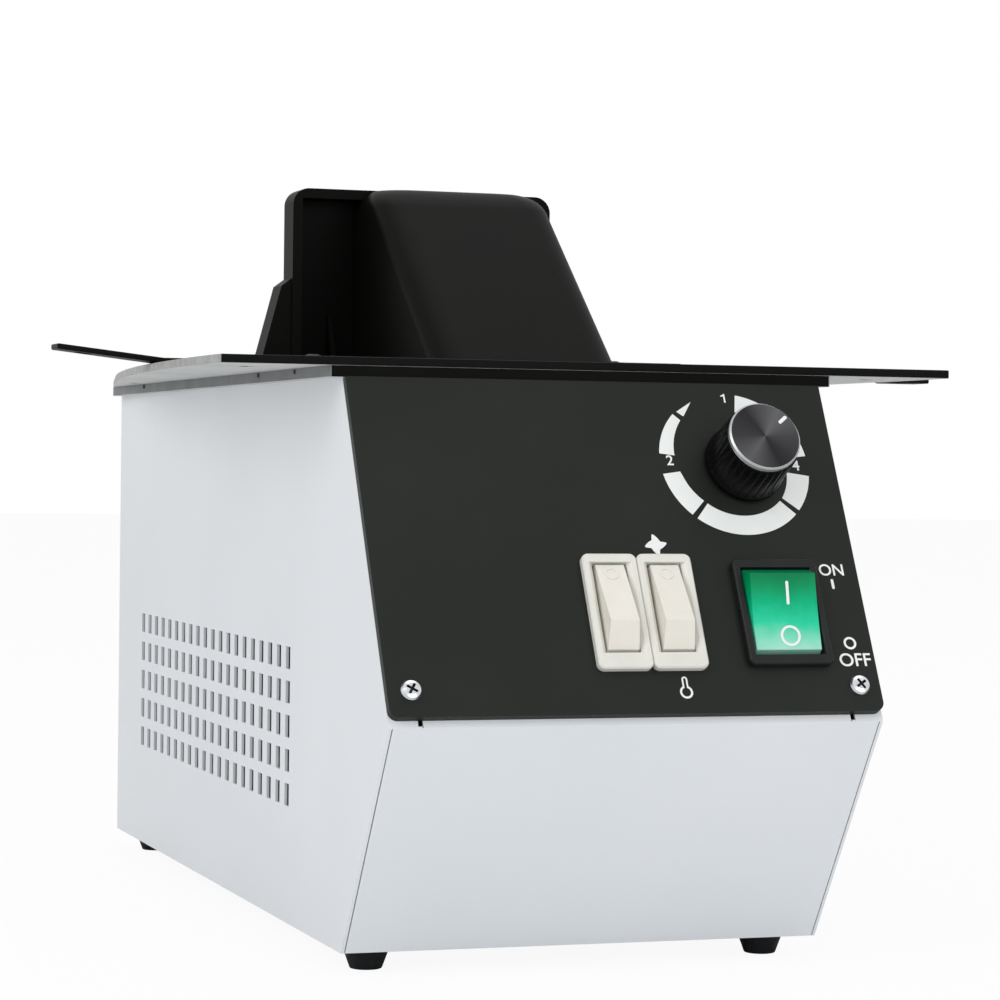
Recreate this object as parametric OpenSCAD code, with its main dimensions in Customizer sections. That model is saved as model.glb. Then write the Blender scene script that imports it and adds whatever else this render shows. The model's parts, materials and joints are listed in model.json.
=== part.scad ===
// Bench-top warm-air dryer: a sheet-steel blower case with a sloping control
// panel, a wide mounting flange on top and a moulded duct that blows to the rear.
// Millimetres, +Z up, -Y is the front. The origin is the middle of the bounding
// box on the surface that the feet stand on.

/* [Case] */
// Width across the two side panels
case_w = 132; // [120:1:160]
// Depth from the top front edge to the rear panel
case_d = 282; // [272:1:320]
// Height of the case without its feet
case_h = 147.6; // [145:0.2:160]
// How far the nose stands forward of the top front edge
nose_out = 45.8; // [42:0.2:50]
// Height of the nose above the case bottom
nose_z = 61; // [57:0.5:64]
// How far the bottom front edge stands forward of the top front edge
toe_out = 4.7; // [0:0.1:12]
// Thickness of the painted steel sheet
sheet_t = 0.8; // [0.6:0.1:1.2]
// Width of the side panels' folded edge beside the lower front
fold_low = 0.8; // [0.8:0.1:5]
// Width of the notch where the seam beside the control panel meets the nose
notch_w = 1; // [0.6:0.1:2]
// Width of the side panels' folded edge behind the control panel
fold_high = 8.6; // [7:0.1:10]
// Width of the side panels' folded edge at the rear
fold_rear = 9; // [7:0.5:12]
// Gap between neighbouring sheets
sheet_gap = 0.3; // [0.1:0.05:0.6]

/* [Side vents] */
// Columns of slots in each side panel
vent_cols = 20; // [8:1:20]
// Rows of slots in each side panel
vent_rows = 5; // [2:1:6]
// Width of a slot
vent_w = 4.6; // [3:0.1:6]
// Height of a slot
vent_h = 6.1; // [4:0.1:7]
// Spacing of the slots along the case
vent_pitch_y = 9.99; // [8:0.01:10.5]
// Spacing of the rows
vent_pitch_z = 9.33; // [8:0.01:10.5]
// Distance from the rear panel to the last slot
vent_rear = 37.6; // [25:0.1:45]
// Height of the top of the highest row
vent_top = 75.3; // [70:0.1:90]

/* [Control panel] */
// Thickness of the black control panel
panel_t = 2.4; // [1.5:0.1:3]
// White edge left bare between the panel and the nose
panel_bare = 1.9; // [1:0.1:4]
// Corner radius of the panel's lower corners
panel_r = 2.5; // [1:0.1:5]
// Distance of the two panel screws in from the sides of the case
panel_screw_in = 6; // [4:0.1:9]
// Distance of the panel screws up from the nose
panel_screw_up = 8.8; // [7:0.1:12]

/* [Knob] */
// Sideways place of the knob on the panel
knob_u = 39.4; // [34:0.1:42]
// Distance of the knob down the panel from its top edge
knob_v = 25.8; // [22:0.1:30]
// Radius of the knob body at its foot
knob_r = 11; // [10.6:0.1:12]
// Radius of the knob body at its top
knob_top_r = 10.2; // [9.8:0.1:10.6]
// Height of the knob above the panel
knob_h = 17; // [15:0.1:20]
// Gap between the knob and the panel
knob_gap = 0.8; // [0.4:0.1:1.5]
// Radius of the aluminium face
cap_r = 9.95; // [8:0.05:10]
// Thickness of the aluminium face
cap_t = 1.5; // [1:0.1:2.5]
// Flutes round the knob
flutes = 24; // [12:1:36]
// Radius of the potentiometer shaft
shaft_r = 3; // [2.5:0.1:3.2]

/* [White rocker switches] */
// Sideways place of the left switch
heat_u = -3.2; // [-6:0.1:0]
// Spacing of the two switches
white_pitch = 14.9; // [14.8:0.05:16]
// Distance of both switches down the panel from its top edge
white_v = 68.4; // [66:0.1:70]
// Width of the bezel
white_w = 14.8; // [14.4:0.1:14.8]
// Length of the bezel
white_l = 32.1; // [31.5:0.1:33]
// Height of the bezel above the panel
white_bezel = 2.2; // [1.8:0.1:3]
// Width of the rocker at its foot
white_rocker_w = 8.7; // [8:0.1:9]
// Width of the rocker's top face
white_face_w = 7.7; // [7:0.1:8]
// Tilt of the rocker to each side of the middle
white_tilt = 14; // [10:0.5:14]

/* [Green power switch] */
// Sideways place of the power switch
power_u = 42; // [38:0.1:44]
// Distance of the power switch down the panel from its top edge
power_v = 68.8; // [66:0.1:70]
// Width of the bezel
power_w = 23.4; // [23:0.1:25]
// Length of the bezel
power_l = 29.9; // [29:0.1:32]
// Height of the bezel above the panel
power_bezel = 2.4; // [2:0.1:3.2]
// Width of the rocker at its foot
power_rocker_w = 18.6; // [18:0.1:18.8]
// Width of the rocker's top face
power_face_w = 18.1; // [17:0.1:18.4]
// Tilt of the rocker to each side of the middle
power_tilt = 13; // [8:0.5:13]

/* [Top rim] */
// Thickness of the black rim on the case
rim_t = 2.9; // [2:0.1:4]
// Overhang of the rim over the case's front and rear
rim_over = 2; // [1:0.1:4]
// Overhang of the rim over the case's sides
rim_side = 4; // [1:0.1:5]
// Radius of the rim's front corners
rim_front_r = 1.4; // [1:0.1:4]
// Radius of the rim's rear corners
rim_r = 8; // [2:0.5:12]

/* [Mounting flange] */
// Thickness of the mounting flange
flange_t = 2.3; // [1.6:0.1:3]
// Widest width of the flange
flange_w = 204.8; // [196:0.2:215]
// Depth of the flange's curved sides, behind which it narrows to the rim
flange_d = 212; // [205:1:230]
// Sideways shift of the flange from the case's middle
flange_shift = 3.2; // [-4:0.1:4]
// Radius of the flange's long curved sides
flange_side_r = 960; // [700:1:1500]
// Distance from the flange's front edge to its widest place
flange_widest = 35; // [30:1:60]
// Radius of the fixing holes
fix_r = 2.2; // [1.6:0.1:2.6]
// Distance of the front fixing holes from the flange's front edge
fix_front = 26; // [20:1:34]
// Spacing of the front fixing holes
fix_front_x = 178; // [170:1:180]
// Spacing of the rear fixing holes
fix_rear_x = 156; // [150:1:158]
// Distance between the front and rear fixing holes
fix_depth = 194; // [160:1:200]

/* [Straps] */
// Thickness of the two side straps
strap_t = 1.6; // [1.4:0.1:3]
// Width of a strap
strap_w = 10; // [8:1:22]
// Distance of the left strap behind the flange's front edge
strap_back = 87.5; // [85:0.5:90]
// Distance of the right strap behind the flange's front edge
strap_back_right = 51.5; // [40:0.5:90]
// Length of the straps that stands out beyond the flange
strap_reach = 21.8; // [16:0.2:28]
// Distance of the straps' inner ends in from the sides of the case
strap_lap = 6; // [2:1:10]
// Rise of the left strap's outer end
strap_rise = 3.4; // [0:0.1:5]
// Length of the left strap's end that is bent up
strap_bent = 30; // [24:1:36]
// Fall of the right strap's outer end
strap_fall = 2.2; // [0:0.1:4]
// Length over which the right strap steps down
strap_step = 6; // [4:0.5:10]
// Radius of the hole near the end of each strap
strap_hole_r = 2.6; // [2:0.1:3]

/* [Duct hood] */
// Width of the outlet frame
hood_w = 82.4; // [78:0.2:84]
// Height of the hood above the flange
hood_h = 56.2; // [50:0.2:62]
// Depth of the outlet frame
frame_d = 11; // [8:0.5:14]
// Distance from the flange's front edge to the outlet frame
frame_y0 = 150; // [150:0.5:154]
// Distance of the throat's left side from the middle
lobe_left = 20; // [18:0.5:28]
// Distance of the throat's right side from the middle
lobe_right = 35.5; // [30:0.5:37]
// Radius of the throat's upright front edges
lobe_r = 9; // [5:0.5:12]
// Radius of the edges round the top of the throat
brow_r = 6; // [4:0.5:8]
// Distance that the throat stands forward of the frame at its foot
lobe_foot = 82.5; // [70:0.5:90]
// Distance that the throat stands forward of the frame at its top
lobe_top = 12.7; // [10:0.1:30]
// Thickness of the outlet frame's rim round its pocket
frame_wall = 3; // [2.4:0.1:5]
// Wall thickness of the hood
hood_wall = 2.4; // [2:0.1:3]
// Thickness of the hood's foot flange
foot_flange = 1.6; // [1.2:0.1:2.2]
// Thickness of the gasket under the hood
gasket_t = 0.8; // [0.5:0.1:1.2]

/* [Feet] */
// Height of a foot
foot_h = 6; // [4:0.5:12]
// Radius of a foot where it meets the case
foot_r = 6.4; // [5:0.05:8]
// Radius of a foot where it meets the table
foot_tip_r = 4.2; // [3:0.05:6]
// Distance of the feet from the side panels
foot_in_x = 10.4; // [9:0.1:16]
// Distance of the front feet behind the bottom front edge
foot_in_y = 13.1; // [9:0.1:20]

/* [Blower] */
// Distance of the blower shaft from the rear panel
fan_rear = 117; // [110:1:120]
// Height of the blower shaft above the case bottom
fan_z = 64; // [62:0.5:67]
// Radius of the blower wheel
wheel_r = 34; // [28:0.5:35]
// Width of the blower wheel
wheel_w = 40; // [30:1:44]
// Blades on the wheel
blades = 28; // [12:1:36]
// Width of the scroll housing
scroll_w = 56; // [50:1:58]
// Smallest radius of the scroll
scroll_r0 = 39; // [38:0.5:42]
// Growth of the scroll radius over a turn
scroll_grow = 24; // [16:1:26]
// Wall thickness of the scroll
scroll_t = 1.5; // [1.2:0.1:2]
// Radius of the motor
motor_r = 22; // [18:0.5:24]
// Length of the motor
motor_l = 30; // [24:0.5:33]
// Radius of the motor shaft
motor_shaft_r = 2.5; // [2:0.1:3]
// Height of the heater
heater_h = 20; // [14:1:24]

/* [Hidden] */
$fn = 48;
eps = 0.01;
cut = 1;

// Slope of the control panel from the vertical, and its length
lean = atan2(nose_out, case_h - nose_z);
slope_l = norm([nose_out, case_h - nose_z]);
// Slope of the lower front from the vertical, and its length
low_lean = atan2(nose_out - toe_out, nose_z);
low_l = norm([nose_out - toe_out, nose_z]);
panel_l = slope_l - panel_bare;
panel_screw_u = case_w / 2 - panel_screw_in;
panel_screw_v = slope_l - panel_screw_up;
inner_w = case_w - 2 * sheet_t;
rim_top = case_h + rim_t;
flange_top = rim_top + flange_t;
flange_y0 = -rim_over - 0.5;
inlet_flange_t = 2.5;
front_y = -(panel_l * sin(lean) + panel_t * cos(lean));
back_y = case_d + max(inlet_flange_t, rim_over);
frame_shift = -(front_y + back_y) / 2;
case_profile = [[-toe_out, 0], [case_d, 0], [case_d, case_h], [0, case_h], [-nose_out, nose_z]];

// Air path: the scroll opens anticlockwise from the cut-off to the front wall
fan_y = case_d - fan_rear;
scroll_side = scroll_w / 2;
scroll_front = scroll_r0 + scroll_grow * 300 / 360;
duct_front = fan_y - scroll_front;
duct_deep = scroll_front + scroll_r0 * cos(120);
scroll_top = fan_z + 48;
heater_top = scroll_top + heater_h;
outlet_x = scroll_side - scroll_t;
outlet_left = min(outlet_x, lobe_left - hood_wall - 0.6);
outlet_right = min(outlet_x, lobe_right - hood_wall - 0.6);
outlet_y0 = duct_front + scroll_t;
outlet_y1 = duct_front + duct_deep - scroll_t;
frame_face = flange_y0 + frame_y0;
hood_z = flange_top + gasket_t;
gusset_gap = 6.8;
strap_out = flange_w / 2 + strap_reach;
strap_in = case_w / 2 - strap_lap;
strap_screw_dx = [strap_lap + rim_side + 4, flange_w / 2 - strap_in - 12.4];

// Screws
m3_r = 1.5;
m3_hole = 1.7;
m3_head_r = 2.7;
m3_head_h = 1.8;
flat_head_h = 1.2;
screw_l = 8;
running = 0.05;

// Switches, seen across: +Y is up the slope, Z = 0 is the face of the panel.
// Each rocker turns on a pin at the height given by its pivot.
body_wall = 1.3;
rocker_side = 0.35;
body_clear = 0.2;
body_depth = 17;
cavity_depth = 11;
pin_r = 1.2;
white_pivot = -5.5;
white_profile = [[11.3, 8.3], [11.3, 1.8], [4, -3], [-4, -3], [-12.2, 2.4], [-12.2, 4.4], [-7.1, 9.9], [10.9, 9.9]];
white_hole = [-13.6, 13.5];
white_lip = -11.8;
power_pivot = 0;
power_profile = [[11.8, -2.6], [4, -4.6], [-4, -4.6], [-11.8, -2.6], [-11.8, -0.3], [-10.05, 3.85], [-5, 3.5], [0, 3.38],
    [5, 3.5], [10.05, 3.85], [11.8, -0.3]];
power_hole = [-12.3, 12.3];

// Electrics
board_z = sheet_t + 6;
board_t = 1.6;
board_x = -50;
board_y = 14;
board_w = 72;
board_d = 64;
standoff_inset = 5;
inlet_x = 34;
inlet_z = 38;
inlet_w = 27.4;
inlet_h = 20;
inlet_pitch = 40;
fuse_x = -2;
term_w = 34;
term_d = 18;
term_x = case_w / 2 - 38;
term_y = 26;
term_z = sheet_t + 9;

module in_frame() {
    translate([0, frame_shift, foot_h]) children();
}

// Local X is sideways, local Y runs up the slope and local Z stands out of the panel seat
module on_panel(u, v, h = 0) {
    translate([u, -v * sin(lean), case_h - v * cos(lean)])
        rotate([90 - lean, 0, 0]) translate([0, 0, h]) children();
}

// The same on the lower front, w measured down from the nose
module on_low(u, w, h = 0) {
    translate([u, -nose_out + w * sin(low_lean), nose_z - w * cos(low_lean)])
        rotate([90 + low_lean, 0, 0]) translate([0, 0, h]) children();
}

// A box that is centred in X and Y and stands on Z = 0
module block(w, d, h) {
    translate([-w / 2, -d / 2, 0]) cube([w, d, h]);
}

module rounded(w, d, r) {
    square([w - 2 * r, d], center = true);
    square([w, d - 2 * r], center = true);
    for (x = [-1, 1], y = [-1, 1]) translate([x * (w / 2 - r), y * (d / 2 - r)]) circle(r);
}

// A pan-head screw with a cross recess, its seat on Z = 0 and its shank below
module pan_screw(len = screw_l, r = m3_r, head_r = m3_head_r, head_h = m3_head_h) {
    translate([0, 0, -len]) cylinder(r = r, h = len + eps);
    difference() {
        rotate_extrude() polygon([[0, 0], [head_r, 0], [head_r, head_h * 0.45],
            [head_r * 0.86, head_h * 0.8], [head_r * 0.55, head_h], [0, head_h]]);
        for (a = [0, 90]) rotate([0, 0, a]) translate([0, 0, head_h * 0.45])
            block(head_r * 1.15, head_r * 0.26, head_h);
    }
}

// A screw with a flat head that lies flush, and the hole for it from the top face down
module flat_screw(len) {
    translate([0, 0, -len]) cylinder(r = m3_r, h = len - flat_head_h + eps);
    difference() {
        translate([0, 0, -flat_head_h]) cylinder(r1 = m3_r, r2 = m3_head_r, h = flat_head_h);
        for (a = [45, 135]) rotate([0, 0, a]) translate([0, 0, -0.7]) block(m3_head_r * 1.15, m3_head_r * 0.26, 1);
    }
}

module flat_hole(t) {
    side = m3_hole - m3_r;
    translate([0, 0, -t - cut]) cylinder(r = m3_hole, h = t + 2 * cut);
    translate([0, 0, -flat_head_h - side]) cylinder(r1 = m3_hole, r2 = m3_head_r + side, h = flat_head_h + side);
    translate([0, 0, -eps]) cylinder(r = m3_head_r + side, h = cut);
}

// ---- sheet-metal case

module base_tray() {
    tray_w = inner_w - 2 * sheet_gap;
    low_w = case_w - 2 * (fold_low + sheet_gap);
    high_w = case_w - 2 * (fold_high + sheet_gap);
    color("#dfe3e8") in_frame() difference() {
        union() {
            translate([-tray_w / 2, -toe_out + sheet_t, 0])
                cube([tray_w, case_d - sheet_gap + toe_out - 2 * sheet_t, sheet_t]);
            on_low(-low_w / 2, low_l, -sheet_t) cube([low_w, low_l - eps, sheet_t]);
            on_panel(-high_w / 2, slope_l, -sheet_t) cube([high_w, 14, sheet_t]);
        }
        feet_places() translate([0, 0, -cut]) cylinder(r = m3_hole, h = sheet_t + 2 * cut);
    }
}

// side = -1 is the left panel
module side_sheet(side) {
    face = case_w / 2 - sheet_t;
    vent_y = case_d - vent_rear;
    scale_x = side < 0 ? [1, 0, 0] : [0, 0, 0];
    mirror(scale_x) difference() {
        union() {
            translate([face, 0, 0]) rotate([90, 0, 90]) linear_extrude(sheet_t) polygon(case_profile);
            on_low(face - fold_low + sheet_t, low_l, -sheet_t) cube([fold_low, low_l - eps, sheet_t]);
            on_panel(face - fold_high + sheet_t, slope_l, -sheet_t)
                cube([fold_high, slope_l - sheet_t, sheet_t]);
            translate([face - fold_rear + sheet_t, case_d - 2 * sheet_t - sheet_gap, sheet_t + sheet_gap])
                cube([fold_rear, sheet_t, case_h - 2 * (sheet_t + sheet_gap)]);
        }
        for (i = [0 : vent_cols - 1], j = [0 : vent_rows - 1])
            translate([face - cut, vent_y - i * vent_pitch_y - vent_w, vent_top - j * vent_pitch_z - vent_h])
                cube([sheet_t + 2 * cut, vent_w, vent_h]);
        on_panel(face - fold_high + sheet_t - cut, slope_l - sheet_t / 2, -2 * sheet_t)
            cube([notch_w + cut, panel_bare + sheet_t, 4 * sheet_t]);
        on_panel(panel_screw_u, panel_screw_v, -2 * sheet_t) cylinder(r = m3_hole, h = 4 * sheet_t);
        rear_screw_places() rotate([90, 0, 0]) cylinder(r = m3_hole, h = 4, center = true);
    }
}

module left_side_panel() {
    color("#dfe3e8") in_frame() side_sheet(-1);
}

module right_side_panel() {
    color("#dfe3e8") in_frame() side_sheet(1);
}

module outlet_cut() {
    translate([-outlet_left, outlet_y0, -cut]) cube([outlet_left + outlet_right, outlet_y1 - outlet_y0, 40]);
}

module flange_screw_places() {
    for (x = [-1, 1], y = [12, frame_face + 40, case_d - 12])
        translate([x * (case_w / 2 - 12), y, 0]) children();
}

module top_panel() {
    top_w = inner_w - 2 * sheet_gap;
    color("#d5d9de") in_frame() translate([0, 0, case_h - sheet_t]) difference() {
        translate([-top_w / 2, sheet_t, 0])
            cube([top_w, case_d - 3 * sheet_t - 2 * sheet_gap, sheet_t]);
        outlet_cut();
        flange_screw_places() translate([0, 0, -cut]) cylinder(r = m3_hole, h = sheet_t + 2 * cut);
    }
}

module rear_screw_places() {
    for (x = [-1, 1], z = [14, case_h - 18])
        translate([x * (case_w / 2 - 5.5), case_d - sheet_t, z]) children();
}

module rear_panel() {
    rear_w = inner_w - 2 * sheet_gap;
    rear_h = case_h - 2 * sheet_gap;
    grille = 9;
    color("#dfe3e8") in_frame() difference() {
        translate([-rear_w / 2, case_d - sheet_t, sheet_gap]) cube([rear_w, sheet_t, rear_h]);
        translate([inlet_x, case_d, inlet_z]) rotate([90, 0, 0]) {
            translate([0, 0, -cut]) linear_extrude(4)
                square([inlet_w + 2 * body_clear, inlet_h + 2 * body_clear], center = true);
            for (x = [-1, 1]) translate([x * inlet_pitch / 2, 0, -cut]) cylinder(r = m3_hole, h = 4);
        }
        translate([fuse_x, case_d + cut, inlet_z]) rotate([90, 0, 0]) cylinder(r = 6 + running, h = 4);
        for (i = [0 : grille - 1], x = [-1, 1])
            translate([x * 24 - 19, case_d - sheet_t - cut, 84 + i * 6]) cube([38, sheet_t + 2 * cut, 2.6]);
        rear_screw_places() rotate([90, 0, 0]) cylinder(r = m3_hole, h = 4, center = true);
    }
}

module rear_screws() {
    color("#b9bcc0") in_frame() rear_screw_places()
        translate([0, sheet_t, 0]) rotate([-90, 0, 0]) pan_screw(6, 1.5, 2.7, 1.6);
}

module feet_places() {
    for (x = [-1, 1], y = [-toe_out + foot_in_y, case_d - foot_in_y])
        translate([x * (case_w / 2 - foot_in_x), y, 0]) children();
}

module rubber_feet() {
    color("#17181a") in_frame() feet_places() translate([0, 0, -foot_h]) difference() {
        cylinder(r1 = foot_tip_r, r2 = foot_r, h = foot_h);
        translate([0, 0, -cut]) cylinder(r = m3_head_r - 0.1, h = cut + 2.2);
        cylinder(r = m3_hole, h = foot_h + cut);
    }
}

module foot_screws() {
    color("#b9bcc0") in_frame() feet_places() translate([0, 0, -foot_h + 2.2])
        mirror([0, 0, 1]) pan_screw(foot_h + 3, 1.5, 2.5, 1.5);
}

// ---- control panel

module switch_cut(u, v, rocker_w, hole) {
    on_panel(u, v, -cut) translate([-rocker_w / 2 - rocker_side - body_wall - body_clear, hole[0] - body_wall - body_clear, 0])
        cube([rocker_w + 2 * (rocker_side + body_wall + body_clear), hole[1] - hole[0] + 2 * (body_wall + body_clear),
            panel_t + 2 * cut]);
}

module control_panel() {
    half = case_w / 2;
    color("#1b1c1e") in_frame() difference() {
        union() {
            on_panel(0, panel_l, 0) linear_extrude(panel_t) {
                translate([-half, panel_r]) square([case_w, panel_l - panel_r - rim_over / 2]);
                translate([-half + panel_r, 0]) square([case_w - 2 * panel_r, panel_r + eps]);
                for (x = [-1, 1]) translate([x * (half - panel_r), panel_r]) circle(panel_r, $fn = 48);
            }
        }
        switch_cut(heat_u, white_v, white_rocker_w, white_hole);
        switch_cut(heat_u + white_pitch, white_v, white_rocker_w, white_hole);
        switch_cut(power_u, power_v, power_rocker_w, power_hole);
        on_panel(knob_u, knob_v, -cut) cylinder(r = shaft_r + 1.2, h = 2 * cut + panel_t);
        for (x = [-1, 1]) on_panel(x * panel_screw_u, panel_screw_v, -cut)
            cylinder(r = m3_hole, h = 2 * cut + panel_t);
    }
}

module panel_screws() {
    color("#c9ccd0") in_frame() for (x = [-1, 1])
        on_panel(x * panel_screw_u, panel_screw_v, panel_t) rotate([0, 0, 32 * x]) pan_screw();
}

// ---- rim, flange and rod on top of the case

module top_rim() {
    rim_w = case_w + 2 * rim_side;
    rim_d = case_d + 2 * rim_over;
    color("#1a1b1c") in_frame() translate([0, 0, case_h]) difference() {
        linear_extrude(rim_t) {
            translate([0, case_d / 2]) rounded(rim_w, rim_d, rim_r);
            translate([0, rim_d / 4 - rim_over]) rounded(rim_w, rim_d / 2, rim_front_r);
        }
        outlet_cut();
        flange_screw_places() translate([0, 0, -cut]) cylinder(r = m3_hole, h = rim_t + 2 * cut);
    }
}

rivet_y = [33, 73, 226];
module rim_rivets() {
    color("#2b2c2e") in_frame() for (x = [-1, 1], y = rivet_y)
        translate([x * (case_w / 2 + rim_side), y, case_h + rim_t * 0.7]) rotate([0, x * 90, 0])
            cylinder(r1 = 0.7, r2 = 0.5, h = 0.4);
}

// Half width of the flange at a distance behind its front edge
function flange_half(y) =
    flange_w / 2 - flange_side_r + sqrt(pow(flange_side_r, 2) - pow(y - flange_widest, 2));

// The long sides are arcs; behind them the flange narrows to the rim's rear corners
module flange_outline() {
    steps = 16;
    tail_x = case_w / 2 + rim_side - rim_r;
    tail_y = case_d + rim_over - rim_r - flange_y0;
    side = [for (i = [0 : steps]) [flange_half(flange_d * i / steps), flange_d * i / steps]];
    corner = [for (a = [18 : 12 : 90]) [tail_x + rim_r * cos(a), tail_y + rim_r * sin(a)]];
    polygon(concat([for (p = side) [p[0] + flange_shift, p[1]]], corner,
        [for (i = [len(corner) - 1 : -1 : 0]) [-corner[i][0], corner[i][1]]],
        [for (i = [steps : -1 : 0]) [flange_shift - side[i][0], side[i][1]]]));
}

module fix_places() {
    for (x = [-1, 1]) {
        translate([x * fix_front_x / 2, fix_front, 0]) children();
        translate([x * fix_rear_x / 2, fix_front + fix_depth, 0]) children();
    }
}

module hood_screw_places() {
    for (x = [-1, 1]) {
        translate([x * (hood_w / 2 + 5), frame_face - 8, 0]) children();
        translate([x * (hood_w / 2 + 5), frame_face - 44, 0]) children();
    }
}

function strap_mid(side) = flange_y0 + (side < 0 ? strap_back : strap_back_right) + strap_w / 2;

module strap_screw_places() {
    for (x = [-1, 1], dx = strap_screw_dx) translate([x * (strap_in + dx), strap_mid(x), 0]) children();
}

module mounting_flange() {
    color("#191a1b") in_frame() translate([0, 0, rim_top]) difference() {
        translate([0, flange_y0, 0]) linear_extrude(flange_t) flange_outline();
        outlet_cut();
        translate([flange_shift, flange_y0, -cut]) fix_places() cylinder(r = fix_r, h = flange_t + 2 * cut);
        flange_screw_places() translate([0, 0, flange_t]) flat_hole(flange_t);
        hood_screw_places() translate([0, 0, -cut]) cylinder(r = m3_hole, h = flange_t + 2 * cut);
        strap_screw_places() translate([0, 0, 0.6]) cylinder(r = m3_hole, h = flange_t);
    }
}

module flange_screws() {
    color("#3a3b3d") in_frame() flange_screw_places() translate([0, 0, flange_top]) flat_screw(7);
}

// side = -1 is the left strap. It leaves the flange at its knee and reaches
// the height rise after the length ramp.
module strap(side, rise, knee, ramp) {
    lower = concat([[strap_in, 0], [knee, 0], [knee + ramp, rise]], knee + ramp < strap_out ? [[strap_out, rise]] : []);
    profile = concat(lower, [for (i = [len(lower) - 1 : -1 : 0]) [lower[i][0], lower[i][1] + strap_t]]);
    translate([0, strap_mid(side), flange_top]) mirror([side < 0 ? 1 : 0, 0, 0]) difference() {
        translate([0, strap_w / 2, 0]) rotate([90, 0, 0]) linear_extrude(strap_w) polygon(profile);
        for (dx = strap_screw_dx) translate([strap_in + dx, 0, strap_t]) flat_hole(strap_t);
        translate([strap_out - 8, 0, -abs(rise) - cut]) cylinder(r = strap_hole_r, h = strap_t + 2 * abs(rise) + 2 * cut);
    }
}

module left_strap() {
    color("#17181a") in_frame() strap(-1, strap_rise, strap_out - strap_bent, strap_bent);
}

module right_strap() {
    color("#17181a") in_frame() strap(1, -strap_fall, flange_w / 2 + flange_shift + 0.4, strap_step);
}

module strap_screws() {
    color("#3a3b3d") in_frame() strap_screw_places() translate([0, 0, flange_top + strap_t])
        flat_screw(strap_t + flange_t - 0.8);
}

// ---- duct hood

module hood_foot_outline() {
    front = frame_face - lobe_foot - 3;
    translate([-hood_w / 2 - 10.5, front]) square([hood_w + 21, lobe_foot + 3 + frame_d]);
}

module hood_gasket() {
    color("#0f1011") in_frame() translate([0, 0, flange_top]) difference() {
        linear_extrude(gasket_t) hood_foot_outline();
        outlet_cut();
        hood_screw_places() translate([0, 0, -cut]) cylinder(r = m3_hole, h = gasket_t + 2 * cut);
    }
}

// How far the throat stands forward of the frame at a height above its foot
function lobe_reach(z) = lobe_foot - (lobe_foot - lobe_top) * z / (hood_h - gasket_t);

// A thin slice of the throat, smaller by inset and, towards the brow, by trim
module lobe_slice(z, inset, trim, back) {
    r = lobe_r - inset;
    front = frame_face - lobe_reach(z) + inset * 1.6 + trim;
    left = -lobe_left + inset + trim;
    right = lobe_right - inset - trim;
    translate([0, 0, z]) linear_extrude(eps) polygon(concat([[right, back], [left, back]],
        [for (a = [180 : 10 : 270]) [left + r + r * cos(a), front + r + r * sin(a)]],
        [for (a = [270 : 10 : 360]) [right - r + r * cos(a), front + r + r * sin(a)]]));
}

// The throat runs from its foot up to the frame, smaller by inset
module lobe(inset, foot, back) {
    top = hood_h - gasket_t - inset - eps;
    r = brow_r - inset;
    hull() {
        lobe_slice(foot, inset, 0, back);
        for (a = [0 : 15 : 90]) lobe_slice(top - r + r * sin(a), inset, r * (1 - cos(a)), back);
    }
}

module air_hood() {
    top = hood_h - gasket_t;
    r = 5;
    back = frame_face + frame_d;
    color("#131415") in_frame() translate([0, 0, hood_z]) difference() {
        union() {
            linear_extrude(foot_flange) hood_foot_outline();
            difference() {
                translate([0, back, 0]) rotate([90, 0, 0]) linear_extrude(frame_d) {
                    translate([-hood_w / 2, 0]) square([hood_w, top - r]);
                    translate([-hood_w / 2 + r, 0]) square([hood_w - 2 * r, top]);
                    for (x = [-1, 1]) translate([x * (hood_w / 2 - r), top - r]) circle(r);
                }
                translate([-hood_w / 2 + frame_wall, frame_face - cut, foot_flange])
                    cube([hood_w - 2 * frame_wall, frame_d - hood_wall + cut, top - frame_wall - foot_flange]);
            }
            lobe(0, 0, back);
            translate([-lobe_left - gusset_gap - 1.4, 0, foot_flange - eps]) rotate([90, 0, 90]) linear_extrude(1.4)
                polygon([[frame_face, 0], [back - hood_wall + eps, 0], [back - hood_wall + eps, 17.4]]);
            for (x = [-1, 1]) mirror([x < 0 ? 1 : 0, 0, 0]) translate([0, back, 0]) rotate([90, 0, 0])
                linear_extrude(frame_d - 1)
                polygon([[hood_w / 2 - eps, 0], [hood_w / 2 + 10, 0], [hood_w / 2 + 3.2, 25.6], [hood_w / 2 - eps, 28]]);
        }
        lobe(hood_wall, -cut, back - hood_wall);
        translate([-lobe_left + hood_wall + 2, back - hood_wall - cut, foot_flange + 4])
            cube([lobe_left + lobe_right - 2 * hood_wall - 4, hood_wall + 2 * cut, top - foot_flange - 4 - hood_wall - 6]);
        hood_screw_places() translate([0, 0, -cut]) cylinder(r = m3_hole, h = foot_flange + 2 * cut);
    }
}

module hood_screws() {
    color("#3a3b3d") in_frame() hood_screw_places() translate([0, 0, hood_z + foot_flange])
        pan_screw(foot_flange + gasket_t + flange_t - 0.2);
}

// ---- knob and speed control

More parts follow.
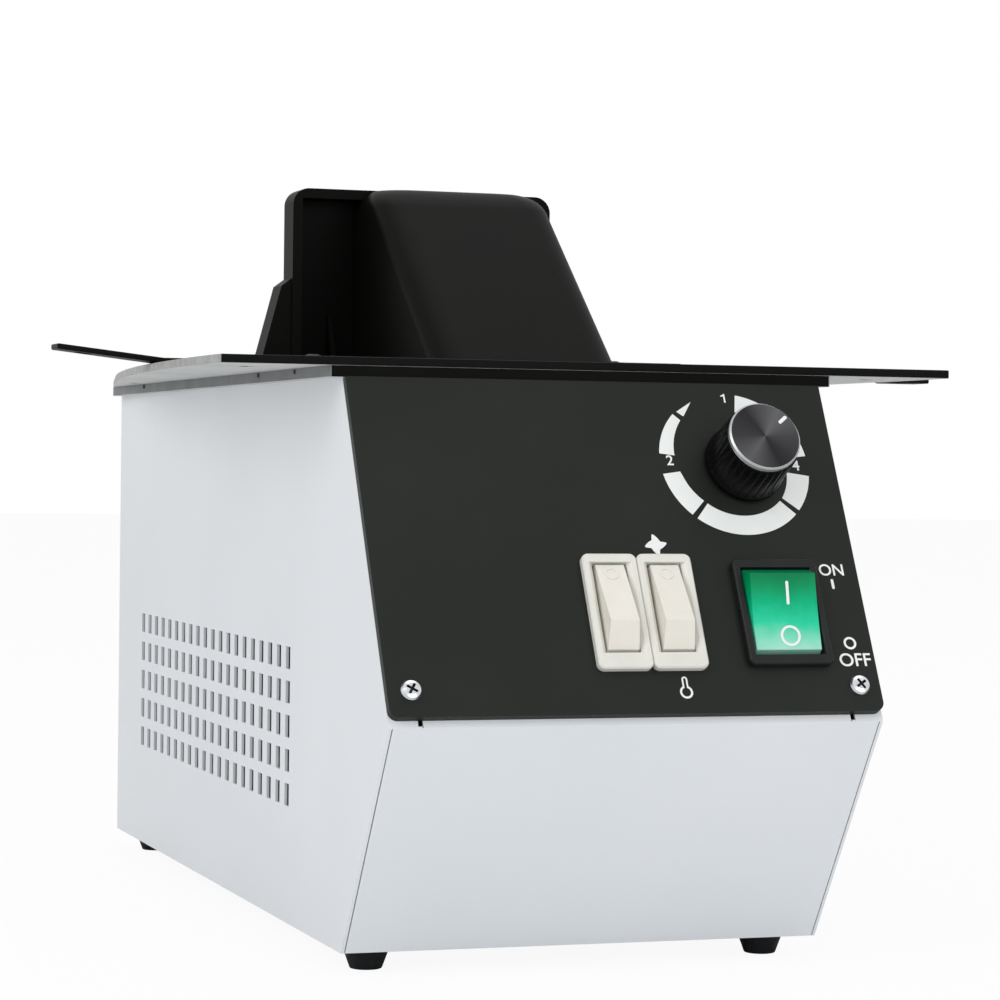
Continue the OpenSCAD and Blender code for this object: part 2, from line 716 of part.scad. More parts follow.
module knob_body() {
    foot = panel_t + knob_gap;
    body_h = knob_h - cap_t - knob_gap;
    color("#131415") in_frame() on_panel(knob_u, knob_v) difference() {
        union() {
            translate([0, 0, foot]) rotate_extrude($fn = 96)
                polygon([[0, 0], [knob_r, 0], [knob_r, 2.2], [knob_r - 0.5, 3.2], [knob_top_r, body_h - 0.6],
                    [knob_top_r - 0.6, body_h], [0, body_h]]);
            for (i = [0 : flutes - 1]) rotate([0, 0, i * 360 / flutes]) translate([knob_top_r, 0, foot + 3])
                cylinder(r = 0.75, h = body_h - 3.4, $fn = 16);
        }
        translate([0, 0, foot - cut]) cylinder(r = shaft_r + 0.02, h = cut + 9.5);
        translate([0, 0, foot - cut]) cylinder(r = 6.6, h = cut + 2.4);
    }
}

module knob_face() {
    top = panel_t + knob_h;
    color("#c6c8ca") in_frame() on_panel(knob_u, knob_v) difference() {
        translate([0, 0, top - cap_t]) rotate_extrude($fn = 96)
            polygon([[0, 0], [cap_r, 0], [cap_r, cap_t - 0.8], [cap_r - 0.8, cap_t], [0, cap_t]]);
        rotate([0, 0, 40]) translate([cap_r * 0.62, -0.45, top - 0.3]) cube([cap_r * 0.3, 0.9, cut]);
    }
}

module speed_potentiometer() {
    color("#6d6f72") in_frame() on_panel(knob_u, knob_v) difference() {
        union() {
            translate([0, 0, -12.2]) cylinder(r = 11.5, h = 10);
            translate([0, 0, -2.4]) cylinder(r = shaft_r + 1, h = 2.4 + panel_t + 0.4);
            translate([-7, -19, -9]) cube([14, 9, 1.2]);
            translate([0, 0, -2.3]) block(16, 16, 0.4);
        }
        translate([0, 0, -9]) cylinder(r = shaft_r + running, h = 20);
    }
}

module potentiometer_nut() {
    color("#c9b26a") in_frame() on_panel(knob_u, knob_v) translate([0, 0, panel_t]) difference() {
        cylinder(r = 5.6, h = 1.6, $fn = 6);
        translate([0, 0, -cut]) cylinder(r = shaft_r + 1, h = 4);
    }
}

module potentiometer_shaft() {
    color("#b9bcc0") in_frame() on_panel(knob_u, knob_v) translate([0, 0, -8.5])
        cylinder(r = shaft_r, h = 8.5 + panel_t + knob_gap + 9);
}

// ---- rocker switches

// A prism along X with its outline given in Y and Z
module across(w, outline) {
    translate([-w / 2, 0, 0]) rotate([90, 0, 90]) linear_extrude(w) polygon(outline);
}

// A prism along Y that narrows from wide at z0 to slim at z1
module drafted(wide, slim, z0, z1) {
    translate([0, 30, 0]) rotate([90, 0, 0]) linear_extrude(60)
        polygon([[-wide / 2, z0 - 20], [wide / 2, z0 - 20], [wide / 2, z0], [slim / 2, z1], [-slim / 2, z1], [-wide / 2, z0]]);
}

module switch_body(w, l, bezel, rocker_w, hole, pivot, lip, flare) {
    inner_w = rocker_w + 2 * rocker_side;
    long = hole[1] - hole[0];
    mid = (hole[0] + hole[1]) / 2;
    difference() {
        union() {
            linear_extrude(bezel - 0.5) rounded(w, l, 1.8);
            translate([0, 0, bezel - 0.5]) linear_extrude(0.5) rounded(w - 0.8, l - 0.8, 1.4);
            translate([0, mid, -body_depth - panel_t])
                block(inner_w + 2 * body_wall, long + 2 * body_wall, body_depth + panel_t + eps);
        }
        translate([0, mid, -cavity_depth - panel_t]) block(inner_w, long, cavity_depth + panel_t + bezel - 1.2);
        translate([-inner_w / 2, lip, 0]) cube([inner_w, hole[1] - lip, bezel + cut]);
        translate([0, hole[1], 0]) rotate([90, 0, 0]) linear_extrude(hole[1] - lip)
            polygon([[-inner_w / 2, bezel - flare], [inner_w / 2, bezel - flare], [inner_w / 2 + flare * 1.4 , bezel + 0.4 * flare],
                [-inner_w / 2 - flare * 1.4, bezel + 0.4 * flare]]);
        translate([-w, 0, pivot]) rotate([0, 90, 0]) cylinder(r = pin_r + running, h = 2 * w);
        for (y = [-8, 0, 8]) translate([-3.1, y - 0.41, -body_depth - panel_t - cut]) cube([6.2, 0.82, 8 + cut]);
    }
}

module rocker(rocker_w, face_w, profile, pivot, tilt, face_z) {
    translate([0, 0, pivot]) rotate([tilt, 0, 0]) union() {
        intersection() {
            across(rocker_w + 2, profile);
            drafted(rocker_w, face_w, 1.5, face_z);
        }
        rotate([0, 90, 0]) translate([0, 0, -rocker_w / 2 - rocker_side - body_wall + 0.2])
            cylinder(r = pin_r, h = rocker_w + 2 * (rocker_side + body_wall) - 0.4);
    }
}

module white_body(u) {
    color("#eeece6") in_frame() on_panel(u, white_v, panel_t)
        switch_body(white_w, white_l, white_bezel, white_rocker_w, white_hole, white_pivot, white_lip, 1.1);
}

module white_rocker(u) {
    color("#eceadf") in_frame() on_panel(u, white_v, panel_t) {
        rocker(white_rocker_w, white_face_w, white_profile, white_pivot, -white_tilt, 9.9);
        translate([0, 0, white_pivot]) rotate([-white_tilt, 0, 0]) translate([-0.2, 8.1, 9.9 - eps]) difference() {
            cylinder(r = 2, h = 0.22);
            translate([0, 0, -cut]) cylinder(r = 1.35, h = 3);
        }
    }
}

module heat_switch_body() {
    white_body(heat_u);
}

module heat_rocker() {
    white_rocker(heat_u);
}

module mode_switch_body() {
    white_body(heat_u + white_pitch);
}

module mode_rocker() {
    white_rocker(heat_u + white_pitch);
}

module power_switch_body() {
    color("#141516") in_frame() on_panel(power_u, power_v, panel_t)
        switch_body(power_w, power_l, power_bezel, power_rocker_w, power_hole, power_pivot, power_hole[0], 0.3);
}

module power_rocker() {
    color("#12a04c", 0.9) in_frame() on_panel(power_u, power_v, panel_t)
        rocker(power_rocker_w, power_face_w, power_profile, power_pivot, power_tilt, 3.85);
}

module switch_terminals() {
    tab = 8;
    color("#c9b26a") in_frame() for (p = [[heat_u, white_v], [heat_u + white_pitch, white_v], [power_u, power_v]])
        on_panel(p[0], p[1], 0) for (y = [-8, 0, 8])
            translate([-3.1, y - 0.4, -body_depth - tab]) cube([6.2, 0.8, tab + 7.5]);
}

// ---- blower, all turned round the axis of its shaft

module on_fan() {
    translate([0, fan_y, fan_z]) children();
}

function scroll_r(a) = scroll_r0 + scroll_grow * (120 - a) / 360;
function scroll_point(a, t) = [(scroll_r(a) - t) * cos(a), (scroll_r(a) - t) * sin(a)];

// Outline of the scroll in Y and Z, smaller by t
module scroll_outline(t) {
    rise = scroll_top - fan_z + (t > 0 ? cut : 0);
    rear = duct_deep - scroll_front - t;
    polygon(concat([for (a = [t > 0 ? 120 : 110 : -10 : -180]) scroll_point(a, t)],
        [[-scroll_front + t, rise], [rear, rise], [rear, scroll_point(120, t)[1]]]));
}

module blower_scroll() {
    color("#c4c8cc") in_frame() on_fan() difference() {
        translate([-scroll_side, 0, 0]) rotate([90, 0, 90]) linear_extrude(scroll_w) scroll_outline(0);
        translate([-scroll_side + scroll_t, 0, 0]) rotate([90, 0, 90])
            linear_extrude(scroll_w - 2 * scroll_t) scroll_outline(scroll_t);
        rotate([0, -90, 0]) cylinder(r = 25, h = scroll_side + cut);
        rotate([0, 90, 0]) cylinder(r = 9, h = scroll_side + cut);
        motor_screw_places() rotate([0, 90, 0]) cylinder(r = m3_hole, h = 20, center = true);
    }
}

module scroll_inlet_ring() {
    color("#9da2a7") in_frame() on_fan() translate([-scroll_side, 0, 0]) rotate([0, -90, 0])
        rotate_extrude($fn = 72) polygon([[25, 0], [30, 0], [30, 1], [27.2, 1], [25.4, 3.4], [24.6, 3.4], [25, 1.5]]);
}

module blower_wheel() {
    half = wheel_w / 2;
    color("#5b6066") in_frame() on_fan() rotate([0, 90, 0]) {
        difference() {
            union() {
                translate([0, 0, half - 1.6]) cylinder(r = wheel_r, h = 1.6, $fn = 72);
                translate([0, 0, half - 1.6 - 14]) cylinder(r = 7, h = 14 + eps);
                difference() {
                    translate([0, 0, -half]) cylinder(r = wheel_r, h = 1.6, $fn = 72);
                    translate([0, 0, -half - cut]) cylinder(r = wheel_r - 6.5, h = 1.6 + 2 * cut, $fn = 72);
                }
                for (i = [0 : blades - 1]) rotate([0, 0, i * 360 / blades]) translate([wheel_r - 3.6, 0, -half + 1])
                    rotate([0, 0, 32]) translate([-2.9, -0.4, 0]) cube([5.8, 0.8, wheel_w - 2]);
            }
            translate([0, 0, half - 13.6]) cylinder(r = motor_shaft_r, h = 13.6 + cut);
        }
    }
}

motor_x = scroll_side + 0.8;
module motor_shaft() {
    color("#c9ccd0") in_frame() on_fan() rotate([0, 90, 0])
        translate([0, 0, wheel_w / 2 - 13.6]) cylinder(r = motor_shaft_r, h = motor_x + motor_l + 1 - wheel_w / 2 + 13.6);
}

module motor_screw_places() {
    for (a = [45 : 90 : 315]) rotate([a, 0, 0]) translate([scroll_side, 0, motor_r + 5]) children();
}

module blower_motor() {
    color("#8c9197") in_frame() on_fan() rotate([0, 90, 0]) difference() {
        union() {
            translate([0, 0, scroll_side]) difference() {
                cylinder(r = motor_r + 9, h = 0.8 + eps);
                for (a = [0 : 90 : 270]) rotate([0, 0, a]) translate([motor_r + 11, 0, -cut]) cylinder(r = 8, h = 4);
            }
            translate([0, 0, motor_x]) cylinder(r = motor_r, h = motor_l);
            translate([0, 0, motor_x + 8]) cylinder(r = motor_r + 0.8, h = motor_l - 16);
        }
        translate([0, 0, scroll_side - cut]) cylinder(r = motor_shaft_r + running, h = motor_l + 4);
        rotate([0, 0, 90]) for (a = [45 : 90 : 315]) rotate([0, 0, a]) translate([motor_r + 5, 0, scroll_side - cut])
            cylinder(r = m3_hole, h = 4);
    }
}

module motor_screws() {
    color("#b9bcc0") in_frame() on_fan() motor_screw_places() translate([0.8 + eps, 0, 0]) rotate([0, 90, 0]) pan_screw(5, 1.5, 2.7, 1.8);
}

// ---- heater and duct to the top opening

module heater_rod_places() {
    for (y = [0 : 4], z = [0, 1]) translate([0, duct_front + 6 + y * 7 + z * 0.01, scroll_top + 6 + z * 8]) children();
}

module heater_frame() {
    color("#d8d2c0") in_frame() difference() {
        translate([-scroll_side, duct_front, scroll_top]) cube([scroll_w, duct_deep, heater_h]);
        translate([-outlet_x, outlet_y0, scroll_top - cut]) cube([2 * outlet_x, outlet_y1 - outlet_y0, heater_h + 2 * cut]);
        heater_rod_places() rotate([0, 90, 0]) cylinder(r = 1.6, h = scroll_w + 2 * cut, center = true, $fn = 24);
    }
}

module heater_rods() {
    color("#9a6a4a") in_frame() heater_rod_places() rotate([0, 90, 0])
        cylinder(r = 1.6, h = scroll_w + 6, center = true, $fn = 24);
}

module thermal_cutout() {
    color("#c9ccd0") in_frame() translate([-14, duct_front + duct_deep, scroll_top + 4]) rotate([-90, 0, 0]) {
        translate([0, -7, 0]) cylinder(r = 7, h = 5);
        for (x = [-1, 1]) translate([x * 3 - 0.4, -10, 5 - eps]) cube([0.8, 6, 6]);
    }
}

module outlet_duct() {
    top = case_h - sheet_t;
    color("#c4c8cc") in_frame() difference() {
        union() {
            translate([-scroll_side, duct_front, heater_top]) cube([scroll_w, duct_deep, top - heater_top]);
            translate([-scroll_side - 6, duct_front - 6, top - 1]) cube([scroll_w + 12, duct_deep + 12, 1]);
        }
        translate([-outlet_x, outlet_y0, heater_top - cut]) cube([2 * outlet_x, outlet_y1 - outlet_y0, 60]);
    }
}

// ---- electrics

module standoff_places() {
    for (x = [0, 1], y = [0, 1]) translate([board_x + standoff_inset + x * (board_w - 2 * standoff_inset),
        board_y + standoff_inset + y * (board_d - 2 * standoff_inset), 0]) children();
}

module control_board() {
    color("#2f6b46") in_frame() difference() {
        translate([board_x, board_y, board_z]) cube([board_w, board_d, board_t]);
        standoff_places() translate([0, 0, board_z - cut]) cylinder(r = m3_hole, h = board_t + 2 * cut);
    }
}

module board_standoffs() {
    color("#c9b26a") in_frame() standoff_places() {
        translate([0, 0, sheet_t]) cylinder(r = 3, h = board_z - sheet_t, $fn = 6);
        translate([0, 0, board_z - eps]) cylinder(r = m3_r, h = board_t + 2 * eps);
        translate([0, 0, board_z + board_t]) rotate_extrude() polygon([[0, 0], [2.7, 0], [2.7, 0.8], [2, 1.8], [0, 1.8]]);
    }
}

module board_parts() {
    color("#23262a") in_frame() translate([board_x, board_y, board_z + board_t]) {
        for (x = [0, 1]) translate([12 + x * 22, 38, 0]) cube([18, 14, 15]);
        for (p = [[16, 20, 4, 14], [28, 20, 4, 14], [40, 14, 5, 18]]) translate([p[0], p[1], 0]) cylinder(r = p[2], h = p[3]);
        translate([50, 12, 0]) cube([3, 22, 24]);
        for (i = [0 : 4]) translate([53 - eps, 13.5 + i * 4.4, 3]) cube([7, 1.4, 20]);
        translate([26, 6, 0]) cube([8, 6, 3.4]);
    }
}

module terminal_block() {
    color("#d9dbdc") in_frame() translate([term_x, term_y, sheet_t]) difference() {
        union() {
            cube([term_w, term_d, 6]);
            translate([0, 4, 0]) cube([term_w, term_d - 8, 13]);
        }
        for (i = [0 : 3]) translate([5 + i * 8, term_d / 2, 5]) {
            cylinder(r = 2.2, h = 10);
            rotate([90, 0, 0]) translate([0, 4, 0]) cylinder(r = 1.5, h = 20, center = true);
        }
    }
}

module mains_inlet() {
    deep = 16;
    color("#141516") in_frame() translate([inlet_x, case_d, inlet_z]) rotate([-90, 0, 0]) difference() {
        union() {
            linear_extrude(inlet_flange_t) intersection() {
                rounded(50, 24, 4);
                rotate([0, 0, 45]) square([48, 48], center = true);
            }
            translate([0, 0, -deep]) block(inlet_w, inlet_h, deep + eps);
        }
        translate([0, 0, -deep + 2]) linear_extrude(deep + 5) polygon([[-12, 8], [-12, -3.4], [-7.6, -7.8], [7.6, -7.8],
            [12, -3.4], [12, 8]]);
        for (x = [-1, 1]) translate([x * inlet_pitch / 2, 0, -cut]) cylinder(r = m3_hole, h = 6);
        inlet_pin_cuts(deep);
    }
}

module inlet_pin_cuts(deep) {
    for (p = [[-7, 2], [0, -2], [7, 2]]) translate([p[0] - 1, p[1] - 2, -deep - cut]) cube([2, 4, 2 * cut + 2]);
}

module inlet_pins() {
    color("#c9ccd0") in_frame() translate([inlet_x, case_d, inlet_z]) rotate([-90, 0, 0])
        for (p = [[-7, 2], [0, -2], [7, 2]]) translate([p[0] - 1, p[1] - 2, -24]) cube([2, 4, 21]);
}

module inlet_screws() {
    color("#b9bcc0") in_frame() for (x = [-1, 1])
        translate([inlet_x + x * inlet_pitch / 2, case_d + inlet_flange_t, inlet_z]) rotate([-90, 0, 0]) pan_screw(8, 1.5, 2.7, 1.7);
}

module fuse_holder() {
    color("#1a1b1d") in_frame() translate([fuse_x, case_d, inlet_z]) rotate([-90, 0, 0]) difference() {
        union() {
            cylinder(r = 8, h = 2);
            translate([0, 0, -26]) cylinder(r = 6, h = 26 + eps);
            translate([0, 0, 2 - eps]) cylinder(r1 = 5.6, r2 = 5.2, h = 0.4);
            translate([0, 0, -sheet_t - 3]) difference() {
                cylinder(r = 8.6, h = 3, $fn = 6);
                cylinder(r = 6 - eps, h = 3);
            }
        }
        translate([-4, -0.6, 1.4]) cube([8, 1.2, 4]);
    }
}

module earth_stud() {
    color("#c9b26a") in_frame() translate([term_x + 20, term_y + 34, sheet_t]) {
        cylinder(r = 1.9, h = 11);
        for (z = [0, 5]) translate([0, 0, z]) cylinder(r = 3.6, h = 2.6, $fn = 6);
        translate([0, 0, 2.6]) cylinder(r = 4.4, h = 0.6);
    }
}

// A wire that follows a list of points
module wire(points, r = 1.1) {
    for (i = [0 : len(points) - 2]) hull() {
        translate(points[i]) sphere(r = r, $fn = 10);
        translate(points[i + 1]) sphere(r = r, $fn = 10);
    }
}

module wire_loom() {
    color("#8f2f2f") in_frame() {
        wire([[inlet_x - 7, case_d - 25.4, inlet_z - 2], [inlet_x - 7, case_d - 34, 20], [term_x + 15, case_d - 46, 6],
            [term_x + 13, 90, 6], [term_x + 13, term_y + term_d + 4, term_z], [term_x + 13, term_y + term_d - 2.6, term_z]]);
        wire([[inlet_x + 7, case_d - 25.4, inlet_z - 2], [inlet_x + 7, case_d - 36, 22], [term_x + 28, case_d - 46, 6],
            [term_x + 30, 90, 6], [term_x + 29, term_y + term_d + 4, term_z], [term_x + 29, term_y + term_d - 2.6, term_z]]);
    }
}

base_tray();
left_side_panel();
right_side_panel();
top_panel();
rear_panel();
control_panel();
panel_screws();
top_rim();
rim_rivets();
mounting_flange();
flange_screws();
hood_gasket();
air_hood();
hood_screws();
left_strap();
right_strap();
strap_screws();
rubber_feet();
foot_screws();
rear_screws();
knob_body();
knob_face();
speed_potentiometer();
potentiometer_shaft();
potentiometer_nut();
heat_switch_body();
heat_rocker();
mode_switch_body();
mode_rocker();
power_switch_body();
power_rocker();
switch_terminals();
blower_scroll();
scroll_inlet_ring();
blower_wheel();
motor_shaft();
blower_motor();
motor_screws();
heater_frame();
heater_rods();
thermal_cutout();
outlet_duct();
control_board();
board_parts();
board_standoffs();
terminal_block();
mains_inlet();
inlet_pins();
inlet_screws();
fuse_holder();
earth_stud();
wire_loom();
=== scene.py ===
import json
import math

import bpy
import bmesh
from mathutils import Matrix, Vector


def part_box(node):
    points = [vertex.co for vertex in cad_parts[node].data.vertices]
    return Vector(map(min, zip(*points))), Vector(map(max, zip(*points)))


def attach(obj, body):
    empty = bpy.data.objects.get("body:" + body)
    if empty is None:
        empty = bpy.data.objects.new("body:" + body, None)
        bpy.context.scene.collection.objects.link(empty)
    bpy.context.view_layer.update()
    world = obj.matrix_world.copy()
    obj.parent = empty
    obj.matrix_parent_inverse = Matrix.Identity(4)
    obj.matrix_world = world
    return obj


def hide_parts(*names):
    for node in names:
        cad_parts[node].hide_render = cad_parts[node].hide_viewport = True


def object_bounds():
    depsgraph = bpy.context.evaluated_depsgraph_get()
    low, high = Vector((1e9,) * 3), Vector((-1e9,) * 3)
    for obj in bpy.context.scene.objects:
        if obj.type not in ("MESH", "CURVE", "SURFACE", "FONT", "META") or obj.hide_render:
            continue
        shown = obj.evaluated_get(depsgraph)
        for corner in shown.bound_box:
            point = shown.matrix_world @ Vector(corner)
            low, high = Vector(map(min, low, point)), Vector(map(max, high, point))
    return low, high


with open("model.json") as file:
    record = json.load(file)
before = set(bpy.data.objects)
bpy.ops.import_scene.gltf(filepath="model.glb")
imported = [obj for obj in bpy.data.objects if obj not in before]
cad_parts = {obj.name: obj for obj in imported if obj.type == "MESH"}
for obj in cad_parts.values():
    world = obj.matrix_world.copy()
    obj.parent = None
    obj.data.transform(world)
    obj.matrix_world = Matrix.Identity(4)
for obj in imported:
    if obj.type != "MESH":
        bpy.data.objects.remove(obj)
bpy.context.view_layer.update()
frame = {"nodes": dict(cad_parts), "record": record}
slotOf = {part["node"]: part["material_slot"] for part in frame["record"]["subparts"]}
bodyOf = {node: body for body, nodes in frame["record"]["behaviour"]["bodies"].items() for node in nodes}
print("frame loaded:", len(frame["nodes"]), "nodes")

mm = 0.001

# where the case stands in the shared frame
caseSize = {"depth": 282 * mm, "height": 147.6 * mm, "noseOut": 45.8 * mm, "noseHeight": 61 * mm,
            "panelThick": 2.4 * mm}
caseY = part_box("rear_panel")[1].y - caseSize["depth"]
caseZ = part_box("left_side_panel")[0].z
lean = math.atan2(caseSize["noseOut"], caseSize["height"] - caseSize["noseHeight"])


def onPanel(u, v, h=0.0, tilt=0.0):
    # u across, v down from the panel's top edge, h out of its face, all in mm; local Y runs up the slope
    out = h * mm + caseSize["panelThick"]
    spot = Vector((u * mm,
                   caseY - v * mm * math.sin(lean) - out * math.cos(lean),
                   caseZ + caseSize["height"] - v * mm * math.cos(lean) + out * math.sin(lean)))
    return Matrix.Translation(spot) @ Matrix.Rotation(math.pi / 2 - lean, 4, "X") @ Matrix.Rotation(tilt, 4, "X")


# x, y and z in mm from the case's front foot line, angles in degrees, fitted to the photo's edges
cameraSpec = {"x": -282.2, "y": -781.0, "z": 125.0, "yaw": -18.360, "pitch": -0.603, "roll": 0.678,
              "focalPixels": 3151.9, "photoPixels": 1000, "sensor": 36, "nearClip": 0.05}


def makeCamera():
    yaw, pitch, roll = (math.radians(cameraSpec[key]) for key in ("yaw", "pitch", "roll"))
    forward = Vector((-math.sin(yaw) * math.cos(pitch), math.cos(yaw) * math.cos(pitch), math.sin(pitch)))
    level = Vector((math.cos(yaw), math.sin(yaw), 0))
    upright = level.cross(forward)
    across = level * math.cos(roll) + upright * math.sin(roll)
    above = upright * math.cos(roll) - level * math.sin(roll)
    turn = Matrix((across, above, -forward)).transposed().to_4x4()
    spot = Vector((cameraSpec["x"] * mm, caseY + cameraSpec["y"] * mm, caseZ + cameraSpec["z"] * mm))
    data = bpy.data.cameras.new("benchCamera")
    data.sensor_width = cameraSpec["sensor"]
    data.lens = cameraSpec["focalPixels"] * cameraSpec["sensor"] / cameraSpec["photoPixels"]
    data.clip_start = cameraSpec["nearClip"]
    camera = bpy.data.objects.new("benchCamera", data)
    camera.matrix_world = Matrix.Translation(spot) @ turn
    bpy.context.scene.collection.objects.link(camera)
    bpy.context.scene.camera = camera


makeCamera()
print("camera placed")


def linear(code):
    # sRGB hex to a linear colour with full alpha
    parts = [int(code[i:i + 2], 16) / 255 for i in (1, 3, 5)]
    return tuple(c / 12.92 if c <= 0.04045 else ((c + 0.055) / 1.055) ** 2.4 for c in parts) + (1.0,)


def addNode(material, kind, settings=None, links=None):
    # adds a node, sets its sockets and properties, and links its inputs from other nodes' outputs
    node = material.node_tree.nodes.new(kind)
    for key, value in (settings or {}).items():
        if isinstance(key, int) or key in node.inputs:
            node.inputs[key].default_value = value
        else:
            setattr(node, key, value)
    for key, source in (links or {}).items():
        material.node_tree.links.new(source, node.inputs[key])
    return node


def ramp(material, source, stops):
    # a colour ramp whose stops are (place, linear colour)
    node = addNode(material, "ShaderNodeValToRGB", links={"Fac": source})
    node.color_ramp.elements[0].position, node.color_ramp.elements[0].color = stops[0]
    node.color_ramp.elements[1].position, node.color_ramp.elements[1].color = stops[-1]
    for place, colour in stops[1:-1]:
        node.color_ramp.elements.new(place).color = colour
    return node.outputs["Color"]


def startMaterial(name):
    material = bpy.data.materials.new(name)
    material.use_nodes = True
    shader = material.node_tree.nodes["Principled BSDF"]
    return material, shader


def paintedFinish(name, low, high, patch, roughness, grain, bump, settings=None):
    # a coated or moulded surface: slow colour drift over patch mm, and a grain in mm that is felt as bump
    material, shader = startMaterial(name)
    place = addNode(material, "ShaderNodeTexCoord")
    where = {"Vector": place.outputs["Object"]}
    drift = addNode(material, "ShaderNodeTexNoise", {"Scale": 1 / (patch * mm), "Detail": 3.0}, where)
    colour = ramp(material, drift.outputs["Fac"], [(0.3, linear(low)), (0.7, linear(high))])
    fine = addNode(material, "ShaderNodeTexNoise", {"Scale": 1 / (grain * mm), "Detail": 4.0}, where)
    gloss = addNode(material, "ShaderNodeMapRange", {"To Min": roughness - 0.05, "To Max": roughness + 0.05},
                    {"Value": fine.outputs["Fac"]})
    relief = addNode(material, "ShaderNodeBump", {"Strength": bump, "Distance": grain * mm * 0.2},
                     {"Height": fine.outputs["Fac"]})
    links = material.node_tree.links
    links.new(colour, shader.inputs["Base Color"])
    links.new(gloss.outputs["Result"], shader.inputs["Roughness"])
    links.new(relief.outputs["Normal"], shader.inputs["Normal"])
    for key, value in (settings or {}).items():
        shader.inputs[key].default_value = value
    return material


def metalFinish(name, low, high, roughness, grain):
    # bare metal: colour and gloss vary with a drawn or rolled grain in mm
    material = paintedFinish(name, low, high, grain * 12, roughness, grain, 0.12)
    material.node_tree.nodes["Principled BSDF"].inputs["Metallic"].default_value = 1.0
    return material


finishes = {
    # polyester powder coat on steel: even white, faint orange peel about 1.2 mm across
    "white_paint": paintedFinish("whitePowderCoat", "#DCE0E4", "#E0E3E7", 60, 0.42, 1.2, 0.05),
    # stoved satin enamel on the control panel: very dark grey, fine 0.5 mm texture
    "black_panel": paintedFinish("satinPanelEnamel", "#191C19", "#1E211E", 40, 0.45, 0.5, 0.12,
                                 {"Specular IOR Level": 0.17}),
    # satin black powder coat on steel plate
    "black_paint": paintedFinish("blackPowderCoat", "#0C0D0C", "#0F100F", 40, 0.42, 0.8, 0.08,
                                 {"Specular IOR Level": 0.04}),
    # moulded flame-retardant plastic, matt black with faint flow marks
    "black_plastic": paintedFinish("mouldedBlackPlastic", "#070806", "#0B0B09", 30, 0.45, 0.7, 0.06,
                                   {"Specular IOR Level": 0.04}),
    # blackened steel screws: dull and nearly black, no bright heads
    "black_steel": paintedFinish("blackOxideSteel", "#111214", "#17181A", 5, 0.5, 0.3, 0.1),
    # foamed neoprene gasket: matt, with open cells about 0.4 mm across
    "gasket_rubber": paintedFinish("foamedRubber", "#0C0D0E", "#111213", 8, 0.85, 0.4, 0.3,
                                   {"Specular IOR Level": 0.15}),
    # moulded black rubber, dull, with a dusty bloom
    "foot_rubber": paintedFinish("mouldedRubber", "#0F1011", "#15171A", 6, 0.6, 0.4, 0.2,
                                 {"Specular IOR Level": 0.2}),
    # bright zinc plate on small screws
    "screw_steel": metalFinish("zincPlatedSteel", "#C4C8CC", "#DDE0E2", 0.25, 0.3),
    # compression-moulded phenolic: deep black with a close sheen
    "knob_plastic": paintedFinish("knobPhenolic", "#060706", "#090A09", 6, 0.26, 0.3, 0.04,
                                  {"Specular IOR Level": 0.08}),
    # plated steel can, lightly brushed: grey with a fine grain
    "pot_case": metalFinish("potCanSteel", "#85888B", "#9A9DA0", 0.4, 0.4),
    # tinned brass tabs: pale yellow metal, softly polished
    "brass_parts": metalFinish("tinnedBrass", "#BFA862", "#D2BD7C", 0.3, 0.3),
    # moulded ivory-white ABS of the small switches: soft semi-gloss
    "ivory_plastic": paintedFinish("ivoryWhiteAbs", "#DAD9D1", "#DFDED7", 8, 0.34, 0.5, 0.03,
                                   {"Subsurface Weight": 0.08, "Subsurface Scale": 0.001}),
    "ivory_rocker": paintedFinish("ivoryRockerAbs", "#E0DCD2", "#E4E1D8", 8, 0.32, 0.5, 0.03,
                                  {"Subsurface Weight": 0.08, "Subsurface Scale": 0.001}),
    # moulded black nylon with a fine spark-eroded texture
    "switch_black": paintedFinish("texturedBlackNylon", "#181A19", "#1D1F1E", 10, 0.4, 0.35, 0.15,
                                  {"Specular IOR Level": 0.2}),
    # hot-dip galvanised sheet: cool grey, cloudy with the zinc
    "zinc_sheet": metalFinish("galvanisedSheet", "#A9AEB2", "#C6CACD", 0.42, 1.5),
    # glass-filled nylon, moulded: mid grey and dry looking
    "wheel_plastic": paintedFinish("glassFilledNylon", "#555A60", "#62676D", 10, 0.55, 0.6, 0.12),
    # lacquered motor shell: even light grey, semi-gloss
    "motor_steel": paintedFinish("motorLacquer", "#858A90", "#93989D", 12, 0.4, 0.6, 0.08),
    # pressed mica sheet: cream, flaky and matt
    "mica_board": paintedFinish("pressedMica", "#CFC8B4", "#E0DAC8", 4, 0.6, 0.8, 0.2),
    # steel rods tinted brown by their own heat
    "heater_steel": metalFinish("heatTintedSteel", "#80624C", "#A58468", 0.4, 0.6),
    # drawn aluminium can, dull silver
    "cutout_metal": metalFinish("dullAluminiumCan", "#BFC3C7", "#D0D3D6", 0.4, 0.4),
    # glass-epoxy laminate under green solder mask: smooth, half glossy
    "board_laminate": paintedFinish("solderMaskLaminate", "#285F3D", "#34754D", 5, 0.35, 0.5, 0.08),
    # moulded relay cases: smooth dark plastic
    "board_black": paintedFinish("relayCasePlastic", "#202327", "#2A2E32", 5, 0.35, 0.4, 0.06),
    # moulded polyamide terminal block: off-white and slightly waxy
    "terminal_plastic": paintedFinish("terminalPolyamide", "#D2D4D5", "#DEE0E1", 6, 0.5, 0.4, 0.06),
    # silicone sleeving: dull dark red
    "wire_sleeve": paintedFinish("siliconeSleeve", "#862A2A", "#9A3838", 5, 0.55, 0.4, 0.06),
}


